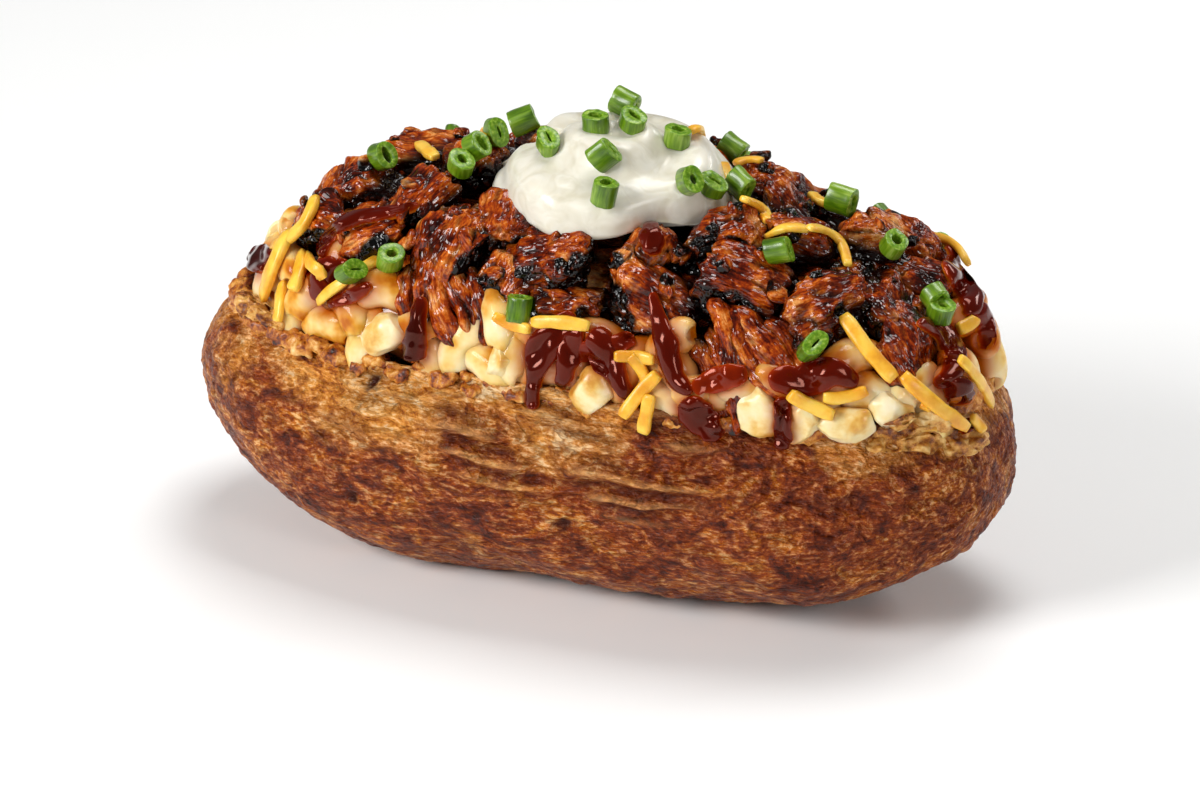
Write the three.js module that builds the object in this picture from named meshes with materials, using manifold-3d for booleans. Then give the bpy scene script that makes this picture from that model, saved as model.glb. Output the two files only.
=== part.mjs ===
// Loaded baked potato: a large russet, baked whole, opened along the top and filled with
// macaroni cheese, under a heap of glazed chopped brisket and a spoonful of sour cream.
// Cheddar shreds, cut spring onion and runs of barbecue sauce lie on the toppings.
//
// Millimetres, +X along the potato, +Z up. The origin is the middle of the flat spot
// underneath, which is the face the potato rests on.

import * as THREE from 'three';
import { mergeVertices } from 'three/addons/utils/BufferGeometryUtils.js';
import Module from 'manifold-3d';

// ---------------------------------------------------------------- driving dimensions

// A rounded body reaches left and right along X, half to each side in Y, above and below its
// middle in Z. plan and section say how blunt it is: 2 is an ellipse, and more is squarer.
const POTATO = { left: 91, right: 93, half: 42, above: 37, below: 37, plan: 2.5, section: 2.3 };
const REST_DEPTH = 3; // thickness of the cap that the weight has flattened underneath
const POTATO_MIDDLE = new THREE.Vector3(0, 0, POTATO.below - REST_DEPTH);

const OPENING = { left: 81, right: 85, half: 37.5, above: 60, below: 12, plan: 2.5, section: 2.6 };
const OPENING_MIDDLE = new THREE.Vector3(0, 0, 57);

// The toppings all lie on or under one smooth heap.
const HEAP = { left: 80, right: 88, half: 38, above: 43, below: 43, plan: 2.6, section: 2.2 };
const HEAP_MIDDLE = new THREE.Vector3(2, 0, 50);

const CHEESE_RISE = 8.5; // how far the macaroni cheese stands above the widest part of the opening
const CHEESE_INSET = 0.8; // and how far it stays inside the opening's wall

const CORE = { left: 69, right: 77, half: 27, above: 11.5, below: 9, plan: 2.5, section: 2.2 };
const CORE_MIDDLE = new THREE.Vector3(2, 0, 70);

const CREAM = { left: 28, right: 26, half: 21.5, above: 15.5, below: 3.5, plan: 2.1, section: 2.1 };
const CREAM_MIDDLE = new THREE.Vector3(6, -3, 86);

const BRISKET_BLUNTNESS = { plan: 3.2, section: 3 };
const BRISKET_UNEVEN = 0.07; // height of a piece's bumps, as a share of its width and thickness
const BRISKET_UNDERSIDE = 0.36; // depth of a piece below its middle, as a share of its thickness
const BRISKET_BEDDED = 0.42; // depth of its middle in the heap, as a share of its thickness
const BRISKET_TILT = 17; // degrees by which a piece may tip

const STRANDS = 3; // in a pulled piece
const STRAND = { width: 1.7, step: 0.75, slip: 0.12, droop: 0.3, splay: 0.35, bedded: 0.3 };

const MACARONI = { radius: 4.4, bend: 8.5, sweep: 1.9, bedded: 2, tilts: [-38, 28, 28] };
const CURD = { size: [10, 8.5, 8], bedded: 1.6 };
const SAUCE = { thick: 5.2, fuller: 0.35, plan: 2, section: 2.6 };
const ONION = { radius: 2.8, length: 4.4, uneven: 0.2, rise: 1.3, lean: 75, upright: 10 };
const SHRED = { width: 3, thick: 2.3, rise: 0.6, bow: 0.01, sag: 0.008 };

const GAP = 0.35; // clearance left where one piece lies against another
const LEAST_LEFT = 0.6; // share of a small topping that must be left once others have cut it back

// Rows of facets on each body, few because the forms are soft.
const FACETS = {
  potato: 6, opening: 3, filling: 2, core: 2, cream: 4, curd: 0, strand: 0, brisket: 2, sauce: 2,
};
const SIDES = 5; // of an elbow and of a cut of spring onion
const BENDS = 3; // steps along an elbow

// ---------------------------------------------------------------- places on the heap, in mm

// Brisket pieces, as x, y, length, width, thickness and turn in degrees, uppermost first.
const BRISKET = [
  [1, -27, 26, 18, 15, 10],
  [42, -25, 25, 21, 17, -8],
  [62, -22, 22, 20, 16, 35],
  [34, -17, 23, 15, 14, 25],
  [23, -31, 26, 17, 14, -18],
  [-22, -27, 20, 22, 14, 70],
  [79, -18, 23, 18, 14, -42],
  [-13, -21, 16, 17, 14, 95],
  [72, -10, 20, 15, 14, -30],
  [50, -8, 17, 12, 12, 20],
  [-44, -24, 19, 14, 12, 25],
  [-34, -15, 17, 14, 13, 55],
  [-58, -17, 17, 15, 12, -20],
  [22, -23, 12, 13, 12, 80],
  [60, 3, 18, 15, 16, 60],
  [-52, -5, 15, 14, 13, 30],
  [-30, -1, 19, 14, 13, 0],
  [-8, -32, 14, 13, 12, 60],
  [76, 3, 16, 14, 13, 15],
  [6, -33, 17, 12, 11, 5],
  [42, 3, 15, 12, 12, -25],
  [-62, 3, 17, 15, 12, 75],
];

// Brisket that has been pulled apart along its grain, in the same order of values.
const PULLED = [
  [46, -32.5, 25, 18, 10, -55],
  [-24, -33, 24, 17, 10, -72],
];

// The far side is filled by rule, in two rows of uneven pieces.
const FAR_ROWS = [
  { count: 5, from: -43, to: 64, y: 12, length: 22 },
  { count: 6, from: -50, to: 64, y: 26, length: 24 },
];
const FAR_PIECE = { width: 0.8, thick: 0.6, uneven: 0.15, stray: 1.5 };

// Macaroni and curds along the near edge of the opening, as x and height.
const NEAR_MACARONI = [
  [-72, 58], [-62, 61], [-52, 59], [-42, 62], [-25, 60], [-15, 61], [-5, 60], [6, 62], [26, 61],
  [38, 59], [62, 61], [71, 61], [80, 60], [87, 57],
];
const NEAR_CURDS = [[-34, 60], [15, 57], [51, 56], [60, 54], [69, 54], [78, 54]];
const FAR_MACARONI = { count: 11, from: -70, to: 82, heights: [58, 61] };
const END_MACARONI = [[-77, 60], [90, 58]];

// Spring onion on the cream, as x and y.
const CREAM_ONIONS = [
  [-15, -3], [-1, 6], [8, 9], [17, 8], [-9, -7], [6, -9], [9, -17], [24, -5], [25, -12],
];
// Spring onion on the heap, and cheddar shreds with their turn and length.
const HEAP_ONIONS = [
  [-47, -7], [-34, -28], [-25, -8], [36, -8], [50, -19], [56, -2], [69, -5], [61, -28],
  [-3, -31], [33, 12], [-32, 22],
];
const HEAP_SHREDS = [
  [-65, -19, 80, 22], [-39, -30, 15, 20], [2, -34, -8, 18], [26, -36.5, 62, 20], [71, -24, -58, 25],
  [83, -17, -50, 24], [61, -31.5, -25, 19], [-40, 8, 20, 20], [30, 24, 40, 22], [60, 26, 10, 20],
  [-12, 30, -25, 22], [38, -5, 65, 15],
];

// Runs of sauce from the heap over the edge of the potato, as x, top and bottom height, width.
const SAUCE_RUNS = [
  [-30, 63, 47, 6], [0, 66, 41, 6.5], [22, 64, 51, 7], [37, 62, 47, 9], [54, 61, 47, 6], [84, 60, 44, 7],
];

// ---------------------------------------------------------------- solids

const wasm = await Module();
wasm.setup();

/** A closed three.js geometry as a solid that can be joined and cut. */
function solidOf(geometry) {
  const bare = geometry.clone();
  bare.deleteAttribute('normal');
  bare.deleteAttribute('uv');
  const merged = mergeVertices(bare, 1e-4);
  return new wasm.Manifold(new wasm.Mesh({
    numProp: 3,
    vertProperties: merged.attributes.position.array,
    triVerts: new Uint32Array(merged.index.array),
  }));
}

function joined(solids) {
  return solids.reduce((whole, piece) => whole.add(piece));
}

function without(solid, cutters) {
  return cutters.reduce((rest, cutter) => rest.subtract(cutter), solid);
}

/** The largest closed body of a solid: loose scraps go and sealed hollows are filled. */
function oneBody(solid) {
  return solid.decompose().reduce((best, body) => (body.volume() > best.volume() ? body : best));
}

function meshOf(name, solid, material) {
  const { vertProperties, triVerts } = solid.getMesh();
  const geometry = new THREE.BufferGeometry();
  geometry.setAttribute('position', new THREE.BufferAttribute(new Float32Array(vertProperties), 3));
  geometry.setIndex(new THREE.BufferAttribute(new Uint32Array(triVerts), 1));
  geometry.computeVertexNormals();
  const mesh = new THREE.Mesh(geometry, material);
  mesh.name = name;
  return mesh;
}

// ---------------------------------------------------------------- scatter

const GOLDEN_TURN = 137.5; // degrees from one piece to the next, so no two neighbours lie alike

/** A value from -1 to 1 for a piece, the same every time, that jumps from piece to piece. */
function scattered(index, kind = 0) {
  return Math.sin(THREE.MathUtils.degToRad(GOLDEN_TURN * (index + 1)) + 2 * kind);
}

/** A wave of the given length in mm. */
function wave(distance, length) {
  return Math.sin(2 * Math.PI * distance / length);
}

// ---------------------------------------------------------------- rounded bodies

const ball = (rows) => new THREE.IcosahedronGeometry(1, rows);
const block = (rows) => new THREE.BoxGeometry(2, 2, 2, rows, rows, rows);

function halfSizes(shape, direction) {
  return new THREE.Vector3(
    direction.x > 0 ? shape.right : shape.left,
    shape.half,
    direction.z > 0 ? shape.above : shape.below,
  );
}

/** A rounded body at the origin, with a ball's or block's facets, pushed out by relief(point) mm. */
function roundedGeometry(shape, facets, relief) {
  const geometry = facets.clone();
  const position = geometry.attributes.position;
  const direction = new THREE.Vector3();
  for (let i = 0; i < position.count; i++) {
    direction.fromBufferAttribute(position, i).normalize();
    const half = halfSizes(shape, direction);
    const around = Math.abs(direction.x) ** shape.plan + Math.abs(direction.y) ** shape.plan;
    const level = around ** (shape.section / shape.plan) + Math.abs(direction.z) ** shape.section;
    const point = direction.clone().multiplyScalar(level ** (-1 / shape.section)).multiply(half);
    const outward = direction.clone().divide(half).normalize();
    point.addScaledVector(outward, relief(point));
    position.setXYZ(i, point.x, point.y, point.z);
  }
  return geometry;
}

function roundedSolid(shape, middle, facets, relief, grow) {
  const geometry = roundedGeometry(shape, facets, (point) => relief(point) + grow);
  geometry.translate(middle.x, middle.y, middle.z);
  return solidOf(geometry);
}

/** Height of a rounded body's upper side above (x, y). */
function topOf(shape, middle, x, y) {
  const along = (x - middle.x) / (x > middle.x ? shape.right : shape.left);
  const around = Math.abs(along) ** shape.plan + Math.abs((y - middle.y) / shape.half) ** shape.plan;
  const level = Math.max(0, 1 - around ** (shape.section / shape.plan));
  return middle.z + shape.above * level ** (1 / shape.section);
}

/** Distance of a rounded body's side from its long axis, at x and height z. */
function sideOf(shape, middle, x, z) {
  const along = (x - middle.x) / (x > middle.x ? shape.right : shape.left);
  const level = 1 - Math.abs((z - middle.z) / shape.above) ** shape.section;
  const around = Math.max(0, level) ** (shape.plan / shape.section) - Math.abs(along) ** shape.plan;
  return shape.half * Math.max(0, around) ** (1 / shape.plan);
}

/** The way out of a rounded body at a point on its surface. */
function outwardAt(shape, middle, point) {
  const offset = point.clone().sub(middle);
  const half = halfSizes(shape, offset);
  const slope = (value, size, power) => Math.sign(value) * Math.abs(value / size) ** (power - 1) / size;
  return new THREE.Vector3(
    slope(offset.x, half.x, shape.plan),
    slope(offset.y, half.y, shape.plan),
    slope(offset.z, half.z, shape.section),
  ).normalize();
}

/** Sits a geometry on a body: its Z goes along the way out, turned and tilted, lifted by rise. */
function seated(geometry, shape, middle, point, turn, rise, tilt = 0) {
  const outward = outwardAt(shape, middle, point);
  const side = new THREE.Vector3(1, 0, 0).projectOnPlane(outward).normalize();
  const across = new THREE.Vector3().crossVectors(outward, side);
  const place = new THREE.Matrix4().makeBasis(side, across, outward);
  place.multiply(new THREE.Matrix4().makeRotationZ(THREE.MathUtils.degToRad(turn)));
  place.multiply(new THREE.Matrix4().makeRotationY(THREE.MathUtils.degToRad(tilt)));
  place.setPosition(point.clone().addScaledVector(outward, rise));
  return geometry.clone().applyMatrix4(place);
}

function onHeapTop(x, y) {
  return new THREE.Vector3(x, y, topOf(HEAP, HEAP_MIDDLE, x, y));
}

function onHeapSide(x, z, towards) {
  return new THREE.Vector3(x, towards * sideOf(HEAP, HEAP_MIDDLE, x, z), z);
}

// ---------------------------------------------------------------- potato

/** Low swells of the skin, in mm. */
function potatoRelief({ x, y, z }) {
  const long = 1.3 * wave(x + 17, 107) * wave(y + 1.2 * z + 30, 119);
  const short = 0.8 * wave(x + z, 57) * wave(y + 16, 63);
  return long + short;
}

/** The torn edge of the opening wanders by a millimetre or two. */
function openingRelief({ x, y }) {
  return 0.9 * wave(x, 41) + 0.7 * wave(x + 0.7 * y, 23);
}

function potatoSolid(grow) {
  const body = roundedSolid(POTATO, POTATO_MIDDLE, ball(FACETS.potato), potatoRelief, grow);
  const under = POTATO.below;
  const floor = new THREE.BoxGeometry(4 * POTATO.left, 4 * POTATO.half, under).translate(0, 0, -under / 2);
  const opening = roundedSolid(OPENING, OPENING_MIDDLE, ball(FACETS.opening), openingRelief, -grow);
  return without(body, [solidOf(floor), opening]);
}

// ---------------------------------------------------------------- macaroni cheese

function ring(radius) {
  return new THREE.Shape(Array.from({ length: SIDES }, (_, i) => new THREE.Vector2(
    radius * Math.cos(2 * Math.PI * i / SIDES),
    radius * Math.sin(2 * Math.PI * i / SIDES),
  )));
}

/** An elbow of macaroni, bent through an arc and lying on its side. */
function macaroniGeometry(grow) {
  const { radius, bend, sweep } = MACARONI;
  const arc = new THREE.EllipseCurve(0, 0, bend, bend, -sweep / 2, sweep / 2);
  const points = arc.getPoints(BENDS).map(({ x, y }) => new THREE.Vector3(x - bend, y, 0));
  const extrudePath = new THREE.CatmullRomCurve3(points);
  return new THREE.ExtrudeGeometry(ring(radius + grow), { extrudePath, steps: BENDS });
}

/** Points on the heap's side: by hand along the near edge, evenly along the far one. */
function macaroniSpots() {
  const near = NEAR_MACARONI.map(([x, z]) => onHeapSide(x, z, -1));
  const { count, from, to, heights } = FAR_MACARONI;
  const far = Array.from({ length: count }, (_, i) => (
    onHeapSide(from + (to - from) * i / (count - 1), heights[i % heights.length], 1)
  ));
  const ends = END_MACARONI.map(([x, z]) => onHeapSide(x, z, 1));
  return [...near, ...far, ...ends];
}

function macaroniSolids(grow) {
  const elbow = macaroniGeometry(grow);
  const { bedded, tilts } = MACARONI;
  return macaroniSpots().map((point, i) => (
    solidOf(seated(elbow, HEAP, HEAP_MIDDLE, point, i * GOLDEN_TURN, -bedded, tilts[i % tilts.length]))
  ));
}

/** Blunt crumbs of curd among the macaroni. */
function curdSolids(grow) {
  return NEAR_CURDS.map(([x, z], i) => {
    const curd = bluntBlock(CURD.size, i, ball(FACETS.curd), grow);
    return solidOf(seated(curd, HEAP, HEAP_MIDDLE, onHeapSide(x, z, -1), i * GOLDEN_TURN, -CURD.bedded));
  });
}

/** A run of sauce down the side, fuller towards its lower end. */
function sauceSolid([x, top, bottom, width], grow) {
  const sideAt = (z) => Math.max(sideOf(HEAP, HEAP_MIDDLE, x, z), sideOf(POTATO, POTATO_MIDDLE, x, z));
  const half = (top - bottom) / 2;
  const geometry = roundedGeometry(
    { left: width / 2, right: width / 2, half: SAUCE.thick / 2, above: half, below: half, ...SAUCE },
    block(FACETS.sauce),
    () => grow,
  );
  const position = geometry.attributes.position;
  for (let i = 0; i < position.count; i++) {
    const fuller = 1 - SAUCE.fuller * position.getZ(i) / half;
    position.setX(i, position.getX(i) * fuller);
  }
  geometry.rotateX(-Math.atan2(sideAt(bottom) - sideAt(top), top - bottom));
  return solidOf(geometry.translate(x, -(sideAt(top) + sideAt(bottom)) / 2, (top + bottom) / 2));
}

/** What fills the opening and stands a little above it, with all that shows on its sides. */
function cheeseSolid(grow) {
  const shape = { ...OPENING, above: CHEESE_RISE };
  const inset = grow - CHEESE_INSET;
  const filling = roundedSolid(shape, OPENING_MIDDLE, ball(FACETS.filling), openingRelief, inset);
  const sauce = SAUCE_RUNS.map((run) => sauceSolid(run, grow));
  return joined([filling, ...macaroniSolids(grow), ...curdSolids(grow), ...sauce]);
}

// ---------------------------------------------------------------- brisket

/** One blunt block with uneven sides. */
function bluntBlock([length, width, thick], index, facets, grow) {
  const shape = {
    left: length / 2,
    right: length / 2,
    half: width / 2,
    above: thick / 2,
    below: BRISKET_UNDERSIDE * thick,
    ...BRISKET_BLUNTNESS,
  };
  const relief = ({ x, y, z }) => {
    const broad = wave(x, 0.7 * length + scattered(index)) * wave(y + index, 0.8 * width);
    const close = 0.6 * wave(x + y + 0.4 * z + 3 * index, 1.25 * thick);
    return BRISKET_UNEVEN * (width + thick) * (broad + close) + grow;
  };
  return roundedGeometry(shape, facets, relief);
}

/** A piece of brisket, bedded in the heap so that little more than its top stands out. */
function brisketSolid([x, y, length, width, thick, turn], index, grow) {
  const piece = bluntBlock([length, width, thick], index, block(FACETS.brisket), grow);
  const tilt = BRISKET_TILT * scattered(index, 1);
  return solidOf(seated(piece, HEAP, HEAP_MIDDLE, onHeapTop(x, y), turn, -BRISKET_BEDDED * thick, tilt));
}

/** A piece pulled into strands: rods side by side, splayed at one end. */
function pulledSolid([x, y, length, width, thick, turn], index, grow) {
  return joined(Array.from({ length: STRANDS }, (_, i) => {
    const share = i / (STRANDS - 1) - 0.5;
    const size = [length * (1 - share * share), STRAND.width * width / STRANDS, thick];
    const rod = bluntBlock(size, index * STRANDS + i, ball(FACETS.strand), grow);
    rod.translate(STRAND.slip * length * (i % 2), 0, -STRAND.droop * thick * Math.abs(share));
    rod.rotateZ(STRAND.splay * share);
    rod.translate(0, STRAND.step * width * share, 0);
    return solidOf(seated(rod, HEAP, HEAP_MIDDLE, onHeapTop(x, y), turn, -STRAND.bedded * thick));
  }));
}

/** Rows of uneven pieces over the far side, in the same order of values as the others. */
function farBrisket() {
  const { width, thick, uneven, stray } = FAR_PIECE;
  return FAR_ROWS.flatMap(({ count, from, to, y, length }) => Array.from({ length: count }, (_, i) => {
    const long = length * (1 + uneven * scattered(i));
    const x = from + (to - from) * i / (count - 1) + stray * scattered(i, 1);
    return [x, y + stray * scattered(i, 2), long, width * long, thick * long, i * GOLDEN_TURN];
  }));
}

/** Chopped brisket under the pieces that show: a low mound with a lumpy surface. */
function coreRelief({ x, y }) {
  return 0.9 * wave(x, 44) * wave(y + 9, 38) + 0.6 * wave(x + 1.4 * y, 69);
}

// ---------------------------------------------------------------- cream and small toppings

/** Lobes where the cream has spread, and soft folds left by the spoon. */
function creamRelief({ x, y, z }) {
  const turn = Math.atan2(y, x);
  const lobes = 1.6 * Math.sin(3 * turn + 0.6) + 0.9 * Math.sin(5 * turn + 2);
  const folds = 0.7 * wave(x + 1.2 * y, 26) * wave(x - 1.5 * y + 12, 47);
  return lobes * Math.max(0, 1 - Math.abs(z) / CREAM.above) + folds;
}

/** A cut length of spring onion, tumbled, and sunk a little into what carries it. */
function onionSolid(shape, middle, [x, y], index, grow) {
  const { radius, length, uneven, rise, lean, upright } = ONION;
  const depth = length * (1 + uneven * scattered(index)) + 2 * grow;
  const cut = new THREE.ExtrudeGeometry(ring(radius + grow), { depth, bevelEnabled: false });
  cut.translate(0, 0, -depth / 2);
  const point = new THREE.Vector3(x, y, topOf(shape, middle, x, y));
  return solidOf(seated(cut, shape, middle, point, index * GOLDEN_TURN, rise, index % 3 ? lean : upright));
}

/** A shred of cheddar, bowed sideways and sagging onto the heap it lies on. */
function shredSolid([x, y, turn, length], index, grow) {
  const { width, thick, rise, bow, sag } = SHRED;
  const bar = new THREE.BoxGeometry(length + 2 * grow, width + 2 * grow, thick + 2 * grow, 2, 1, 1);
  const position = bar.attributes.position;
  const side = index % 2 ? bow : -bow;
  for (let i = 0; i < position.count; i++) {
    const along = position.getX(i);
    position.setY(i, position.getY(i) + side * along * along);
    position.setZ(i, position.getZ(i) - sag * along * along);
  }
  return solidOf(seated(bar, HEAP, HEAP_MIDDLE, onHeapTop(x, y), turn, rise));
}

// ---------------------------------------------------------------- fitting the pieces together

const finish = (color, roughness) => new THREE.MeshStandardMaterial({ color, roughness, metalness: 0 });
const pieces = [];

/** Adds a piece, cut back to leave a gap round every piece placed before it. */
function place(name, material, make) {
  const solid = oneBody(without(make(0), pieces.map(({ room }) => room)));
  pieces.push({ name, material, solid, room: make(GAP) });
}

/** Fuses a small topping to the piece it bites into most, clear of the others. */
function top(make) {
  const topping = make(0);
  const bites = pieces.map(({ solid }) => topping.intersect(solid).volume());
  const host = pieces[bites.indexOf(Math.max(...bites))];
  const others = pieces.filter((piece) => piece !== host);
  const clear = oneBody(without(topping, others.map(({ room }) => room)));
  if (clear.volume() < LEAST_LEFT * topping.volume()) return;
  host.solid = oneBody(host.solid.add(clear));
  host.room = host.room.add(make(GAP));
}

place('potato', finish(0x9a6232, 0.6), potatoSolid);
place('macaroni_cheese', finish(0xe6cf8f, 0.4), cheeseSolid);
place('brisket_core', finish(0x5a2412, 0.5), (grow) => (
  roundedSolid(CORE, CORE_MIDDLE, ball(FACETS.core), coreRelief, grow)
));
place('sour_cream', finish(0xf3f0e4, 0.4), (grow) => (
  roundedSolid(CREAM, CREAM_MIDDLE, ball(FACETS.cream), creamRelief, grow)
));

const brisket = [
  ...BRISKET.map((row, i) => (grow) => brisketSolid(row, i, grow)),
  ...PULLED.map((row, i) => (grow) => pulledSolid(row, i, grow)),
  ...farBrisket().map((row, i) => (grow) => brisketSolid(row, i + BRISKET.length, grow)),
];
brisket.forEach((make, i) => {
  place(`brisket_${String(i + 1).padStart(2, '0')}`, finish(0x6e2a12, 0.3), make);
});

CREAM_ONIONS.forEach((spot, i) => top((grow) => onionSolid(CREAM, CREAM_MIDDLE, spot, i, grow)));
HEAP_ONIONS.forEach((spot, i) => top((grow) => onionSolid(HEAP, HEAP_MIDDLE, spot, i, grow)));
HEAP_SHREDS.forEach((row, i) => top((grow) => shredSolid(row, i, grow)));

const loadedPotato = new THREE.Group();
pieces.forEach(({ name, solid, material }) => loadedPotato.add(meshOf(name, solid, material)));

export default loadedPotato;
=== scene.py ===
import math

import bmesh
import bpy
from mathutils import Matrix, Vector, noise
from mathutils.bvhtree import BVHTree


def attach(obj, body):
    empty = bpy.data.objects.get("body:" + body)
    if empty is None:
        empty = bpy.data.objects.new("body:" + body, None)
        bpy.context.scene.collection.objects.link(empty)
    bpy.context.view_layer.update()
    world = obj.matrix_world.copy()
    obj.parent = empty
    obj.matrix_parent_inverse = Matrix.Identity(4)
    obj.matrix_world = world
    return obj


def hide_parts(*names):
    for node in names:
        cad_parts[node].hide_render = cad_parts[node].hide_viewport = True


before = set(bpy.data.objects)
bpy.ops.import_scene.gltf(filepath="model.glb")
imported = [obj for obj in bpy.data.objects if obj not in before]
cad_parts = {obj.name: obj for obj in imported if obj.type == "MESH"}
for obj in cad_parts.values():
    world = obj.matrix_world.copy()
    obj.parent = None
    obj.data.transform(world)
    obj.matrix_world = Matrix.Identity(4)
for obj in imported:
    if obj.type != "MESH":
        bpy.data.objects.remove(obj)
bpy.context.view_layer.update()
noise.seed_set(3)  # the same shapes each time the script runs

# ------------------------------------------------------------------------------- camera
# It stands a metre and a half away with a long lens, to the right of the potato's middle and 25
# degrees up. Toppings that are placed by a pixel lie where this camera sees them.

MM = 0.001  # metres
FRAME = (1200, 800)  # pixels of the camera's frame
FOCAL = 6637.5  # pixels
AZIMUTH, ELEVATION, ROLL = (math.radians(a) for a in (24.104, 24.990, -1.363))
EYE = Vector((532.480, -1190.732, 642.823))  # mm

back = Vector((
    math.sin(AZIMUTH) * math.cos(ELEVATION), -math.cos(AZIMUTH) * math.cos(ELEVATION), math.sin(ELEVATION)
))
level_side = Vector((math.cos(AZIMUTH), math.sin(AZIMUTH), 0))
level_up = back.cross(level_side)
side = level_side * math.cos(ROLL) + level_up * math.sin(ROLL)
up = level_up * math.cos(ROLL) - level_side * math.sin(ROLL)

camera = bpy.data.objects.new("camera", bpy.data.cameras.new("camera"))
camera.data.sensor_width = 36
camera.data.lens = camera.data.sensor_width * FOCAL / FRAME[0]
camera.data.clip_end = 20  # metres
camera.matrix_world = Matrix.Translation(EYE * MM) @ Matrix((side, up, back)).transposed().to_4x4()
bpy.context.scene.collection.objects.link(camera)
bpy.context.scene.camera = camera


def sight(x, y):
    """The way from the eye through a pixel of the camera's frame."""
    return (side * (x - FRAME[0] / 2) - up * (y - FRAME[1] / 2) - back * FOCAL).normalized()


# ------------------------------------------------------------------------------- studio
# A sheet of matt white paper in a dim white room. The key stands low on the left in front, a soft
# box hangs overhead, and a weak fill and a rim light put small marks on the glaze.

FLOOR_HALF = 6  # metres
ROOM_LIGHT = 0.15  # strength of the white all round
AIM = Vector((0, 0, 60))  # mm, where every light points
LIGHTS = [  # name, place in mm, width and height in mm, watts
    ("key", (-640, -820, 640), (500, 500), 12.3),
    ("overhead", (60, 260, 980), (520, 420), 5.2),
    ("fill", (800, -520, 420), (260, 260), 1.8),
    ("rim", (380, 560, 420), (420, 120), 1.2),
]


def linear(hex_colour):
    """An sRGB hex colour as the linear values that a shader takes."""
    parts = [int(hex_colour[i:i + 2], 16) / 255 for i in (1, 3, 5)]
    return (*[c / 12.92 if c <= 0.04045 else ((c + 0.055) / 1.055) ** 2.4 for c in parts], 1)


def add(tree, kind, inputs=None, stops=None, give=0, **settings):
    """Adds a shader node with its settings and links, and gives one of its outputs, if it has any.

    An input is a value, a hex colour, or the output that feeds it.
    """
    made = tree.nodes.new("ShaderNode" + kind)
    for name, value in settings.items():
        setattr(made, name, value)
    for name, value in (inputs or {}).items():
        if isinstance(value, bpy.types.NodeSocket):
            tree.links.new(value, made.inputs[name])
        else:
            made.inputs[name].default_value = linear(value) if isinstance(value, str) else value
    for i, (place, colour) in enumerate(stops or ()):
        mark = made.color_ramp.elements[i] if i < 2 else made.color_ramp.elements.new(place)
        mark.position = place
        mark.color = linear(colour)
    return made.outputs[give] if len(made.outputs) else None


def material(name, **constants):
    """A new material, its node tree and its shader with the constants set."""
    made = bpy.data.materials.new(name)
    made.use_nodes = True
    made.node_tree.nodes.clear()
    inputs = {name.replace("_", " "): value for name, value in constants.items()}
    surface = add(made.node_tree, "BsdfPrincipled", inputs)
    add(made.node_tree, "OutputMaterial", {"Surface": surface})
    return made, made.node_tree, surface.node


# Matt paper: nearly white, with no gloss.
paper = material("matt_paper", Roughness=0.9, Base_Color="#FBFBFA")[0]
sheet = bmesh.new()
bmesh.ops.create_grid(sheet, x_segments=1, y_segments=1, size=FLOOR_HALF)
floor_mesh = bpy.data.meshes.new("floor")
sheet.to_mesh(floor_mesh)
sheet.free()
floor_mesh.materials.append(paper)
floor = bpy.data.objects.new("floor", floor_mesh)
bpy.context.scene.collection.objects.link(floor)

world = bpy.data.worlds.new("studio")
world.use_nodes = True
room = world.node_tree.nodes["Background"]
room.inputs["Color"].default_value = linear("#FFFFFF")
room.inputs["Strength"].default_value = ROOM_LIGHT
bpy.context.scene.world = world
bpy.context.scene.view_settings.view_transform = "Standard"

for name, place, (width, height), watts in LIGHTS:
    lamp = bpy.data.lights.new(name, "AREA")
    lamp.shape = "RECTANGLE"
    lamp.size, lamp.size_y = width * MM, height * MM
    lamp.energy = watts
    light = bpy.data.objects.new(name, lamp)
    light.location = Vector(place) * MM
    light.rotation_euler = (AIM - Vector(place)).to_track_quat("-Z", "Y").to_euler()
    bpy.context.scene.collection.objects.link(light)

# ------------------------------------------------------------------------------- potato skin
# The thin baked skin: dry, wrinkled lengthwise where the flesh has shrunk from it, and darker low
# down and at the right, partly real browning and partly painted shade. It is a fine ball swollen
# into the potato, with its top sunk into a bowl that holds the filling.

# A rounded body reaches so many mm from its middle each way. The more its plan and its section
# are above 2, the squarer they are.
POTATO = dict(left=91, right=93, half=42, above=37, below=37, plan=2.5, section=2.3)
POTATO_MIDDLE = Vector((0, 0, 34))
OPENING = dict(left=81, right=85, half=37.5, above=60, below=12, plan=2.5, section=2.6)
OPENING_MIDDLE = Vector((0, 0, 57))

carriers = []  # search trees, in mm, of what the later toppings lie on
laid = []  # and the pieces themselves


def wave(distance, length):
    """A wave from -1 to 1 that repeats after this length."""
    return math.sin(2 * math.pi * distance / length)


def smoothed(value, low, high):
    """0 below low, 1 above high, and an even slope between."""
    share = min(1, max(0, (value - low) / (high - low)))
    return share * share * (3 - 2 * share)


def half_sizes(shape, way):
    """How far a rounded body reaches along each axis, on the side that lies this way."""
    return Vector((
        shape["right"] if way.x > 0 else shape["left"],
        shape["half"],
        shape["above"] if way.z > 0 else shape["below"],
    ))


def rounded(shape, way):
    """The point of a rounded body that lies this way from its middle, and the way out there."""
    plan, section = shape["plan"], shape["section"]
    half = half_sizes(shape, way)
    around = abs(way.x) ** plan + abs(way.y) ** plan
    level = around ** (section / plan) + abs(way.z) ** section
    point = Vector([c * h for c, h in zip(way * level ** (-1 / section), half)])
    return point, Vector([c / h for c, h in zip(way, half)]).normalized()


def ball(rows):
    """A closed ball of triangles, to be shaped."""
    made = bmesh.new()
    bmesh.ops.create_icosphere(made, subdivisions=rows, radius=1)
    return made


def swollen(made, shape):
    """Each vertex of a ball, with its point on a rounded body and the way out there."""
    for v in made.verts:
        yield v, *rounded(shape, v.co.normalized())


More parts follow.
